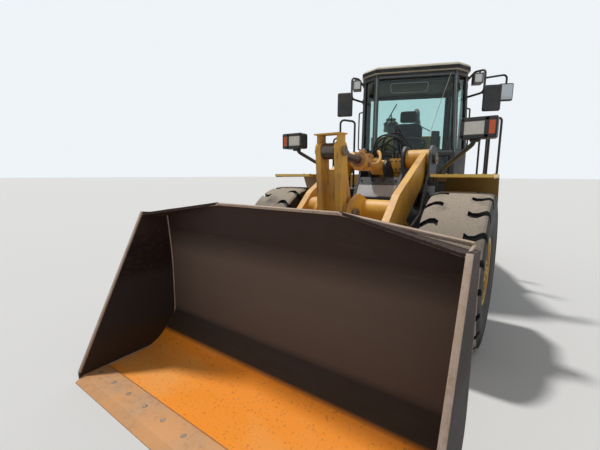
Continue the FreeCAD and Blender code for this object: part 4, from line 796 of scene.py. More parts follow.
@dataclass
class Workshop:
    """Makes pieces: puts a mesh where its half is parked, gives it a finish and the body that it rides on."""

    frame: dict
    pivot: Vector
    finishes: dict[str, bpy.types.Material] = field(default_factory=dict)

    def place(self, half: Half) -> Matrix:
        """The matrix from millimetres on the straight machine to the parked half, in metres.

        Args:
            half: The half.

        Returns:
            The matrix.
        """
        turn = Matrix.Rotation(REST_ARTICULATION if half is Half.REAR else 0.0, 4, "Z")
        return Matrix.Translation(self.pivot) @ turn @ Matrix.Scale(0.001, 4)

    def piece(self, name: str, bm: Mesh, body: str, half: Half, slot: str, finishes: tuple[str, ...] = (),
              recalculate: bool = False, sharp: float = 32.0) -> bpy.types.Object:
        """Make an object of a mesh.

        Args:
            name: The piece's name.
            bm: Its mesh on the straight machine, which is used up.
            body: The body that it rides on.
            half: The half that it belongs to.
            slot: The record's material slot.
            finishes: Its finishes, one a material index, if they aren't the slot's own.
            recalculate: Whether the normals are worked out again.
            sharp: Angle from which an edge is sharp, in degrees.

        Returns:
            The object.
        """
        if recalculate:
            bmesh.ops.recalc_face_normals(bm, faces=bm.faces)
        bmesh.ops.transform(bm, matrix=self.place(half), verts=bm.verts)
        mesh = bpy.data.meshes.new(name)
        bm.to_mesh(mesh)
        bm.free()
        mesh.shade_smooth()
        mesh.set_sharp_from_angle(angle=math.radians(sharp))
        return self.add(name, mesh, body, slot, finishes)

    def add(self, name: str, mesh: bpy.types.Mesh, body: str, slot: str,
            finishes: tuple[str, ...]) -> bpy.types.Object:
        """Link a finished mesh as a piece.

        Args:
            name: The piece's name.
            mesh: Its mesh, in place.
            body: The body that it rides on.
            slot: The record's material slot.
            finishes: Its finishes, if they aren't the slot's own.

        Returns:
            The object.
        """
        for finish in finishes or (slot,):
            mesh.materials.append(self.finishes[finish])
        piece = bpy.data.objects.new(name, mesh)
        bpy.context.scene.collection.objects.link(piece)
        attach(piece, body)
        LOG.info("%s on %s, %d faces", name, body, len(mesh.polygons))
        return piece

    def pipe(self, name: str, paths: list, radius: float, body: str, half: Half, slot: str, finish: str = "",
             run: Run = Run.CURVED, cyclic: bool = False) -> None:
        """Make round pipes, hoses or seals along paths.

        Args:
            name: The piece's name.
            paths: One list of points for each pipe.
            radius: Their radius.
            body: The body that they ride on.
            half: The half that they belong to.
            slot: The record's material slot.
            finish: Their finish, if it isn't the slot's own.
            run: Whether they go straight or in curves.
            cyclic: Whether their ends are joined.
        """
        curve = bpy.data.curves.new(name, "CURVE")
        curve.dimensions = "3D"
        curve.bevel_depth = radius * 0.001
        curve.bevel_resolution = 3
        curve.resolution_u = 8
        curve.use_fill_caps = True
        matrix = self.place(half)
        for path in paths:
            spline = curve.splines.new(run.value)
            spline.points.add(len(path) - 1)
            for point, at in zip(spline.points, path):
                point.co = (*(matrix @ Vector(at)), 1.0)
            spline.use_cyclic_u = cyclic
            if run is Run.CURVED:
                spline.order_u = 3
                spline.use_endpoint_u = not cyclic
        maker = bpy.data.objects.new(name, curve)
        mesh = bpy.data.meshes.new_from_object(maker)
        bpy.data.objects.remove(maker)
        bpy.data.curves.remove(curve)
        mesh.materials.clear()
        mesh.name = name
        mesh.shade_smooth()
        mesh.set_sharp_from_angle(angle=math.radians(40.0))
        self.add(name, mesh, body, slot, (finish,) if finish else ())


@dataclass
class Wheels:
    """Tyres with their tread, and what is bolted to the rims."""

    shop: Workshop
    radius: float = 799.5
    half_width: float = 297.0
    half_track: float = 1085.0
    axle_y: Pair = (-1650.0, 1650.0)
    steps: int = 160
    blocks: int = 20
    groove_depth: float = 31.0
    groove_steps: float = 1.98
    tread_reach: float = 30.0
    groove_reach: float = 95.0
    plain_half: float = 112.0
    bend_reach: float = 120.0
    bend_fade: float = 60.0
    bend_length: float = 180.0
    bend_waves: float = 0.8
    bend_degrees: Pair = (2.2, 0.8)
    rings: tuple[tuple[float, float, int, float, float], ...] = (
        (60.0, 234.0, 20, 0.0, 30.0), (258.0, 72.0, 8, 22.5, 15.0), (190.0, 181.0, 12, 15.0, 14.0))

    def profile(self) -> list:
        """Half section from the middle of the tread to the bead, as (distance from the middle, radius)."""
        r, w, plain = self.radius, self.half_width, self.plain_half
        return [(0, r), (60, r), (plain, r - 0.5), (150, r - 1), (196, r - 2), (236, r - 5), (258, r - 11),
                (276, r - 28), (286, r - 62), (w - 4, r - 108), (w, r - 158), (w - 2, r - 190),
                (w - 6, r - 196), (w - 7, r - 240),
                (w - 12, r - 300), (w - 24, r - 360), (w - 40, r - 410), (w - 47, r - 432), (w - 57, r - 440),
                (w - 59, 319.5)]

    def tyre(self, end: str, y: float, side: str, s: int) -> None:
        """Make one tyre that replaces its CAD node.

        Args:
            end: Front or rear.
            y: The axle's place.
            side: Left or right.
            s: 1 on the left and -1 on the right.
        """
        half = self.profile()
        bm = bmesh.new()
        place = spot((s * self.half_track, y, AXLE_Z), (1, 0, 0))
        section = [(x, r) for x, r in reversed(half)] + [(-x, r) for x, r in half[1:]]
        add_spin(bm, section, place, steps=self.steps, closed=True)
        bmesh.ops.recalc_face_normals(bm, faces=bm.faces)
        self.cut_grooves(bm, place)
        self.bend_blocks(bm, place, s)
        name = f"tread_{end}_{side}"
        piece = self.shop.piece(name, bm, f"wheel_{end}_{side}", Half[end.upper()], "tyre",
                                ("tread", "tyre", "groove"), sharp=28.0)
        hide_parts(f"tyre_{end}_{side}")

    def cut_grooves(self, bm: Mesh, place: Matrix) -> None:
        """Sink the grooves between the tread blocks, half a block apart on the two sides.

        Args:
            bm: The tyre's mesh.
            place: Where the tyre stands, its axle being Z.
        """
        inverse = place.inverted()
        cut = []
        period = math.tau / self.blocks
        width = math.tau / self.steps * self.groove_steps
        for face in bm.faces:
            local = inverse @ face.calc_center_median()
            reach = math.hypot(local.x, local.y)
            face.material_index = 0 if reach > self.radius - self.tread_reach else 1
            if reach < self.radius - self.groove_reach or abs(local.z) < self.plain_half:
                continue
            turn = (math.atan2(local.y, local.x) + (period / 2 if local.z < 0 else 0.0)) % period
            if turn < width:
                cut.append(face)
        walls = bmesh.ops.inset_region(bm, faces=cut, thickness=3.0, depth=-self.groove_depth,
                                       use_boundary=True, use_even_offset=True)["faces"]
        for face in cut + walls:
            face.material_index = 2

    def bend_blocks(self, bm: Mesh, place: Matrix, s: int) -> None:
        """Bend the blocks and grooves into an S from the middle to the shoulder.

        Args:
            bm: The tyre's mesh.
            place: Where the tyre stands, its axle being Z.
            s: 1 on the left and -1 on the right.
        """
        inverse = place.inverted()
        swing, start = self.bend_degrees
        for vert in bm.verts:
            local = inverse @ vert.co
            below = self.radius - math.hypot(local.x, local.y)
            if below > self.bend_reach:
                continue
            away = abs(local.z)
            phase = (away - self.plain_half) / self.bend_length * math.tau * self.bend_waves
            share = min(1.0, (self.bend_reach - below) / self.bend_fade) * min(1.0, away / self.plain_half)
            bend = math.radians(swing * math.sin(phase) - start) * share
            vert.co = place @ (Matrix.Rotation(bend * (1 if local.z > 0 else -1) * s, 4, "Z") @ local)

    def fittings(self, end: str, y: float, side: str, s: int) -> None:
        """Make the nuts, the hub cover, the lock ring and the valve of one wheel.

        Args:
            end: Front or rear.
            y: The axle's place.
            side: Left or right.
            s: 1 on the left and -1 on the right.
        """
        x0 = s * self.half_track
        out = (s, 0, 0)
        half, body = Half[end.upper()], f"wheel_{end}_{side}"
        bm = bmesh.new()
        for away, radius, count, start, head in self.rings:
            for at in ring_of((x0 + s * away, y, AXLE_Z), out, radius, count, start):
                add_bolt(bm, at, out, head)
        self.shop.piece(f"wheel_nuts_{end}_{side}", bm, body, half, "pin", ("bolt",))
        bm = bmesh.new()
        hub = spot((x0, y, AXLE_Z), out)
        add_spin(bm, [(257, 46), (266, 44), (270, 36), (270, 22), (263, 20), (263, 0.5)], hub, 32)
        lock_ring = [(238, 304), (243, 309), (250, 309), (253, 305), (250, 301), (241, 300)]
        add_spin(bm, lock_ring, hub, 60, closed=True)
        self.shop.piece(f"hub_cover_{end}_{side}", bm, body, half, "rim_yellow", recalculate=True)
        bm = bmesh.new()
        add_rod(bm, (x0 + s * 120, y, AXLE_Z + 284), (x0 + s * 205, y, AXLE_Z + 276), 7, sides=10)
        add_rod(bm, (x0 + s * 200, y, AXLE_Z + 276), (x0 + s * 226, y, AXLE_Z + 273), 10, sides=10, edge=1.5)
        self.shop.piece(f"valve_{end}_{side}", bm, body, half, "lamp_black")

    def build(self) -> None:
        """Make all four wheels."""
        for end, y in zip(("front", "rear"), self.axle_y):
            for side, s in SIDES:
                self.tyre(end, y, side, s)
                self.fittings(end, y, side, s)


@dataclass
class Bucket:
    """Worn lips, weld beads and bolts of the bucket."""

    shop: Workshop
    half: float = 1440.0
    plate: float = 32.0
    bend_x: float = 600.0
    top_z: float = 1515.0
    corner_z: float = 1409.0
    top_y: float = -3432.0
    tip: Pair = (-3700.0, 1415.0)
    toe: Pair = (-4360.0, 60.0)
    edge_y: float = -4400.0
    edge_bolts: int = 12
    edge_pitch: float = 240.0

    def lips(self) -> None:
        """The pale rubbed bars along the top edge and down the front of the side plates."""
        bm = bmesh.new()
        w = self.half - self.plate
        top = [(-w + 4, self.top_y, self.corner_z - 3), (-self.bend_x, self.top_y, self.top_z - 3),
               (self.bend_x, self.top_y, self.top_z - 3), (w - 4, self.top_y, self.corner_z - 3)]
        for a, b in zip(top, top[1:]):
            a, b = Vector(a), Vector(b)
            lean = Matrix.Rotation(-math.atan2(b.z - a.z, b.x - a.x), 4, "Y")
            add_slab(bm, ((b - a).length + 8, 48.0, 22.0), Matrix.Translation((a + b) / 2) @ lean, 5.0)
        (ty, tz), (fy, fz) = self.tip, self.toe
        for s in (1, -1):
            x = s * (self.half - self.plate / 2 - 1.5)
            a, b = Vector((x, ty + 2, tz - 6)), Vector((x, fy + 6, fz + 8))
            add_slab(bm, (self.plate + 2.0, 16.0, (b - a).length), upright((a + b) / 2, b - a), 4.0)
            gusset = [(x - s * 14, ty + 12, tz - 26), (x - s * 14, self.top_y, self.corner_z - 12)]
            add_rod(bm, gusset[0], gusset[1], 9.0, sides=10)
        self.shop.piece("bucket_lips", bm, "bucket", Half.FRONT, "bucket_steel", ("worn_edge",))

    def seams(self) -> None:
        """Weld beads in the corners, wear bars under the floor and the bolts of the cutting edge."""
        w = self.half - self.plate - 3
        corner = [(self.edge_y + 70, 30), (-3800, 30), (-3660, 34), (-3520, 110), (-3424, 240), (-3412, 330),
                  (-3406, 640), (-3406, 980), (-3440, self.corner_z - 20)]
        paths = [[(s * w, y - 3, z) for y, z in corner] for s in (1, -1)]
        self.shop.pipe("corner_welds", paths, 7.0, "bucket", Half.FRONT, "bucket_steel", "worn_edge")
        bm = bmesh.new()
        for x in (-1250, -780, -260, 260, 780, 1250):
            add_block(bm, (x - 45, -4120, 2), (x + 45, -3680, 12), 4.0)
        self.shop.piece("floor_wear_bars", bm, "bucket", Half.FRONT, "bucket_steel", ("worn_edge",))
        bm = bmesh.new()
        for k in range(self.edge_bolts):
            x = (k - (self.edge_bolts - 1) / 2) * self.edge_pitch
            add_rod(bm, (x, self.edge_y + 170, 39.0), (x, self.edge_y + 170, 42.0), 21, tip=18, sides=18)
        self.shop.piece("edge_bolts", bm, "bucket", Half.FRONT, "pin", ("bolt",))

    def build(self) -> None:
        """Make all of it."""
        self.lips()
        self.seams()


@dataclass
class Boom:
    """Pin covers, grease fittings, pipes and hoses of the boom, the bell crank and the front frame."""

    shop: Workshop
    pivot: Pair = (-1030.0, 1970.0)
    bucket_hinge: Pair = (-3230.0, 400.0)
    bell_pivot: Pair = (-2400.0, 1380.0)
    bell_top: Pair = (-2520.0, 2000.0)
    tilt_base: Pair = (-1250.0, 1866.0)
    lift_base: Pair = (-720.0, 880.0)
    lift_eye: Pair = (-1890.0, 1320.0)
    lift_x: float = 400.0
    boom_face: float = 565.0
    tower_face: float = 625.0
    drive_face: float = 830.0
    front_axle_y: float = -1650.0

    def cover(self, name: str, body: str, x: float, at: Pair, radius: float, bolts: int = 3) -> None:
        """Put a keeper disc with bolts on both ends of a pin.

        Args:
            name: The piece's name.
            body: The body that it rides on.
            x: Where the pin's left end stands.
            at: The pin's place, as (y, z).
            radius: Radius of the disc.
            bolts: Number of its bolts.
        """
        bm = bmesh.new()
        for s in (1, -1):
            disc = [(0, 0.5), (0, radius - 3), (3, radius), (11, radius), (14, radius - 4), (14, 0.5)]
            add_spin(bm, disc, spot((s * x, *at), (s, 0, 0)), 32)
            for place in ring_of((s * (x + 13), *at), (s, 0, 0), radius * 0.58, bolts, 90.0):
                add_bolt(bm, place, (s, 0, 0), radius * 0.28)
            add_rod(bm, (s * (x + 12), *at), (s * (x + 26), *at), 5.0, tip=3.0, sides=8)
        self.shop.piece(name, bm, body, Half.FRONT, "pin", recalculate=True)

    def pins(self) -> None:
        """Covers on the ends of the pins, and the grease fittings over them."""
        self.cover("boom_pin_covers", "front_frame", 650.0, self.pivot, 74.0)
        self.cover("bucket_pin_covers", "bucket_pins", 660.0, self.bucket_hinge, 62.0)
        self.cover("bell_pin_covers", "bell_crank_pin", 230.0, self.bell_pivot, 62.0)
        self.cover("crank_tip_covers", "bell_crank", 147.0, self.bell_top, 50.0, 2)
        bm = bmesh.new()
        for s in (1, -1):
            for y, z in (self.pivot, self.bucket_hinge):
                foot = Vector((s * self.boom_face, y - 8, z + 96))
                add_rod(bm, foot, foot + Vector((s * 18, 0, 0)), 7, tip=4, sides=8)
        self.shop.piece("grease_fittings", bm, "boom", Half.FRONT, "pin", ("bolt",))

    def tilt_lines(self) -> None:
        """The steel pipe from the tilt cylinder's head, and its clamps and gland."""
        along, up = line_axes(self.tilt_base, self.bell_top)
        base = Vector((0, *self.tilt_base))

        def at(x: float, reach: float, rise: float) -> Vector:
            """A place beside the cylinder: across it, along it and above it."""
            return base + along * reach + up * rise + Vector((x, 0, 0))

        path = [at(*place) for place in ((88, 560, -30), (150, 556, -34), (176, 500, -20), (172, 400, 60),
                                         (120, 330, 150), (60, 230, 168), (30, 120, 160), (20, 60, 150))]
        self.shop.pipe("tilt_pipes", [path], 17.0, "tilt_barrel", Half.FRONT, "yellow", "crank_yellow")
        bm = bmesh.new()
        add_rod(bm, at(0, 640, 0), at(0, 668, 0), 76, sides=32, edge=4)
        for place in ring_of(at(0, 667, 0), along, 62, 8, 22.5):
            add_bolt(bm, place, along, 14)
        add_slab(bm, (74, 26, 52), upright(at(0, 545, 122), along), 5)
        add_slab(bm, (40, 40, 40), upright(at(106, 560, -30), along), 6)
        for x in (-60, 60):
            for reach in (450, 600):
                add_bolt(bm, at(x, reach, 92), up, 20)
                add_bolt(bm, at(x, reach, -92), -up, 20)
        for rise in (-58, 58):
            for reach in (450, 550):
                add_bolt(bm, at(92, reach, rise), (1, 0, 0), 18)
                add_bolt(bm, at(-92, reach, rise), (-1, 0, 0), 18)
        self.shop.piece("tilt_cylinder_fittings", bm, "tilt_barrel", Half.FRONT, "pin", ("rusty_plate",))

    def tower_hoses(self) -> None:
        """The valve block on the tower, its fittings and the hoses that arch over it."""
        py = self.pivot[0]
        bm = bmesh.new()
        add_block(bm, (-170, py + 20, 1722), (190, py + 150, 1800), 8)
        add_block(bm, (60, py - 10, 1800), (250, py + 90, 1990), 10)
        add_block(bm, (-190, py + 20, 1800), (-40, py + 110, 1900), 8)
        self.shop.piece("valve_block", bm, "front_frame", Half.FRONT, "yellow")
        bm = bmesh.new()
        for x, z in ((90, 1990), (130, 1990), (180, 1990), (220, 1990), (-160, 1900), (-110, 1900),
                     (-66, 1900)):
            add_rod(bm, (x, py + 40, z), (x, py + 40, z + 26), 17, sides=6)
            add_rod(bm, (x, py + 40, z + 26), (x, py + 40, z + 52), 13, sides=16)
        for x in (90, 150, 210):
            add_bolt(bm, (x, py - 10, 1850), (0, -1, 0), 20)
            add_bolt(bm, (x, py - 10, 1950), (0, -1, 0), 20)
        self.shop.piece("hose_fittings", bm, "front_frame", Half.FRONT, "pin", ("bolt",))
        arches = ((-190, 170, -985, 2275), (-150, 215, -1010, 2250), (-80, 250, -970, 2295),
                  (-30, 262, -1000, 2215), (-120, 110, -1015, 2150))
        hoses = []
        for x0, x1, y, top in arches:
            hoses.append([(x0, y + 50, 1790), (x0 - 10, y + 10, 1960), (x0 - 6, y, 2140), (x0 + 40, y, top),
                          ((x0 + x1) / 2, y - 8, top + 45), (x1 - 34, y, top), (x1, y, 2120),
                          (x1 + 4, y + 4, 1990), (x1 - 10, y + 40, 1880), (x1 - 30, y + 60, 1790)])
        self.shop.pipe("tower_hoses", hoses, 12.5, "front_frame", Half.FRONT, "lamp_black", "hose")

    def frame_trim(self) -> None:
        """The sloped cover's step bar, bolts and sheets, the tower's and axle's bolts, and the brake pipes."""
        bm = bmesh.new()
        add_rod(bm, (-262, -1420, 1480), (262, -1420, 1480), 22, sides=16, edge=3)
        for x in (-200, 200):
            add_slab(bm, (20, 90, 60), Matrix.Translation((x, -1400, 1446)), 4)
        for x in (-235, -80, 80, 235):
            for y, z in ((-1500, 1308), (-1900, 1168), (-1262, 1700)):
                lean = (0, -0.87, 0.5) if y > -1400 else (0, -0.33, 0.94)
                add_bolt(bm, (x, y, z), lean, 22)
        self.shop.piece("cover_trim", bm, "front_frame", Half.FRONT, "dark", ("cab_black",))
        bm = bmesh.new()
        for low, high in (((-1940, 1148), (-1496, 1314)), ((-1470, 1334), (-1300, 1638))):
            run = Vector((0, high[0] - low[0], high[1] - low[1]))
            middle = Vector((0, (low[0] + high[0]) / 2, (low[1] + high[1]) / 2))
            add_slab(bm, (520, 5, run.length), upright(middle, run), 1.5)
        self.shop.piece("cover_sheets", bm, "front_frame", Half.FRONT, "dark", ("cover_grey",))
        bm = bmesh.new()
        for s in (1, -1):
            for y, z in ((-1800, 1080), (-1600, 1080), (-1300, 1400), (-1300, 1120), (-900, 1280),
                         (-560, 1100), (-560, 700)):
                add_bolt(bm, (s * self.tower_face, y, z), (s, 0, 0), 26)
        self.shop.piece("frame_bolts", bm, "front_frame", Half.FRONT, "pin", ("bolt",))
        route = ((632, -1250, 1560), (640, -1120, 1500), (640, -1000, 1300), (700, -1200, 1150),
                 (760, -1480, 1010), (760, -1600, 990))
        paths = [[(s * x, y, z) for x, y, z in route] for s in (1, -1)]
        self.shop.pipe("brake_pipes", paths, 7.0, "front_frame", Half.FRONT, "pin", "bolt")
        bm = bmesh.new()
        for s in (1, -1):
            for at in ring_of((s * self.drive_face, self.front_axle_y, AXLE_Z), (s, 0, 0), 102, 12):
                add_bolt(bm, at, (s, 0, 0), 20)
        plug = Vector((0.5, self.front_axle_y - 235, AXLE_Z))
        add_rod(bm, plug, plug + Vector((0, -14, 0)), 34, sides=6)
        self.shop.piece("front_axle_bolts", bm, "front_frame", Half.FRONT, "pin", ("bolt",))

    def lift_lines(self) -> None:
        """Pipes, clamps and gland bolts of the lift cylinders."""
        along, up = line_axes(self.lift_base, self.lift_eye)
        route = ((1040, 70), (1030, 96), (960, 98), (600, 84), (220, 84), (120, 62))
        paths = []
        bm = bmesh.new()
        for s in (1, -1):
            base = Vector((s * self.lift_x, *self.lift_base))
            paths.append([base + along * reach + up * rise for reach, rise in route])
            for at in ring_of(base + along * 1100, along, 52, 6):
                add_bolt(bm, at, along, 13)
            add_slab(bm, (34, 34, 30), Matrix.Translation(base + along * 1046 + up * 74), 4)
            add_slab(bm, (34, 34, 30), Matrix.Translation(base + along * 130 + up * 66), 4)
        self.shop.pipe("lift_pipes", paths, 11.0, "lift_barrels", Half.FRONT, "pin", "crank_yellow")
        self.shop.piece("lift_fittings", bm, "lift_barrels", Half.FRONT, "pin", ("bolt",))

    def build(self) -> None:
        """Make all of it."""
        self.pins()
        self.tilt_lines()
        self.tower_hoses()
        self.frame_trim()
        self.lift_lines()


@dataclass
class Lamps:
    """Bezels, reflectors and guards of the head lamps, roof lamps and tail lamps, and the mirrors' glass."""

    shop: Workshop
    head_x: Pair = (995.0, 1325.0)
    head_y: float = -1610.0
    head_z: Pair = (2135.0, 2345.0)
    tail_x: float = 985.0
    tail_pitch: float = 52.0
    cab_side: float = 740.0
    cab_top: float = 3235.0

    def heads(self) -> None:
        """Rims and bowls of the head lamps, the bar between lens and signal, cooling ribs and clamp."""
        (x0, x1), y, (z0, z1) = self.head_x, self.head_y, self.head_z
        split = x0 + 0.70 * (x1 - x0)
        bm = bmesh.new()
        for s in (1, -1):
            def at(x: float, z: float, deep: float = 0.0) -> Vector:
                """A place on the lamp's face, or deep behind it."""
                return Vector((s * x, y + deep, z))

            for x, width in ((split + 6, 42), (x0 + 18, 36), (x1 - 10, 18)):
                add_slab(bm, (width, 18, z1 - z0 - 10), Matrix.Translation(at(x, (z0 + z1) / 2, 8)), 6, 3)
            for z in (z0 + 21, z1 - 21):
                add_slab(bm, (x1 - x0 - 6, 18, 42), Matrix.Translation(at((x0 + x1) / 2, z, 8)), 8, 3)
            for k in range(6):
                add_slab(bm, (210, 10, 5), Matrix.Translation(at((x0 + x1) / 2, z0 + 50 + 22 * k, 153)), 1)
            add_slab(bm, (96, 66, 30), Matrix.Translation(at(1130, z0 - 12, 80)), 6)
            add_bolt(bm, at(1130, z0 - 12, 46), (0, -1, 0), 20)
        self.shop.piece("head_lamp_rims", bm, "front_frame", Half.FRONT, "lamp_black")
        bm = bmesh.new()
        for s in (1, -1):
            middle = (s * (x0 + split) / 2, y + 3.5, (z0 + z1) / 2)
            bowl = [(0, 66), (3, 62), (4, 50), (1, 46), (1, 34), (5, 24), (7, 0.5)]
            add_spin(bm, bowl, spot(middle, (0, -1, 0)), 36)
        self.shop.piece("head_lamp_bowls", bm, "front_frame", Half.FRONT, "lens", recalculate=True)

    def roof_lamps(self) -> None:
        """Lenses and rims of the lamps under the mirror arms, and the mirrors' glass."""
        rims, lenses, mirrors = bmesh.new(), bmesh.new(), bmesh.new()
        top = self.cab_top
        for s in (1, -1):
            x0, x1 = self.cab_side + 30, self.cab_side + 148
            centre = Vector((s * (x0 + x1) / 2, -424, top - 137.5))
            add_slab(lenses, (100, 6, 116), Matrix.Translation(centre - Vector((0, 3, 0))), 2.5)
            for dz in (-62, 62):
                add_slab(rims, (118, 20, 12), Matrix.Translation(centre + Vector((0, -5, dz))), 4)
            for dx in (-54, 54):
                add_slab(rims, (12, 20, 130), Matrix.Translation(centre + Vector((dx, -5, 0))), 4)
            for k in range(5):
                add_slab(rims, (90, 8, 5), Matrix.Translation(centre + Vector((0, 127, -40 + 20 * k))), 1)
            x = s * (self.cab_side + 257.5)
            add_slab(mirrors, (196, 5, 312), Matrix.Translation((x, -453.5, top - 422.5)), 2)
            add_slab(rims, (40, 26, 60), Matrix.Translation((s * (self.cab_side + 165), -452, top - 330)), 5)
        add_slab(mirrors, (150, 5, 196), Matrix.Translation((self.cab_side + 430, -476, top - 350)), 2)
        self.shop.piece("roof_lamp_rims", rims, "rear_frame", Half.REAR, "lamp_black")
        self.shop.piece("roof_lamp_lenses", lenses, "rear_frame", Half.REAR, "lens", ("work_lens",))
        self.shop.piece("mirror_glass", mirrors, "rear_frame", Half.REAR, "glass", ("mirror",))

    def tails(self) -> None:
        """Guards and round lenses of the tail lamps, reflectors and the blank plate."""
        rims, amber, red, plate = bmesh.new(), bmesh.new(), bmesh.new(), bmesh.new()
        for s in (1, -1):
            for k, lens in enumerate((red, amber, red)):
                at = (s * (self.tail_x + self.tail_pitch * k), 3540, 1395)
                add_spin(lens, [(0, 22), (5, 21), (9, 14), (10, 0.5)], spot(at, (0, 1, 0)), 24)
            for z in (1338, 1452):
                add_rod(rims, (s * 885, 3570, z), (s * 1085, 3570, z), 6, sides=10)
            for x in (885, 985, 1085):
                add_rod(rims, (s * x, 3570, 1334), (s * x, 3570, 1456), 6, sides=10)
            for z in (1340, 1450):
                for x in (885, 1085):
                    add_rod(rims, (s * x, 3500, z), (s * x, 3572, z), 6, sides=10)
            add_slab(red, (70, 5, 40), Matrix.Translation((s * 700, 3742, 1230)), 2)
        add_slab(plate, (330, 5, 165), Matrix.Translation((0, 3742, 1180)), 2)
        self.shop.piece("tail_guards", rims, "rear_frame", Half.REAR, "lamp_black")
        self.shop.piece("tail_turn_lenses", amber, "rear_frame", Half.REAR, "orange", recalculate=True)
        self.shop.piece("tail_stop_lenses", red, "rear_frame", Half.REAR, "red", recalculate=True)
        self.shop.piece("blank_plate", plate, "rear_frame", Half.REAR, "roof", ("blank_plate",))

    def build(self) -> None:
        """Make all of it."""
        self.heads()
        self.roof_lamps()
        self.tails()


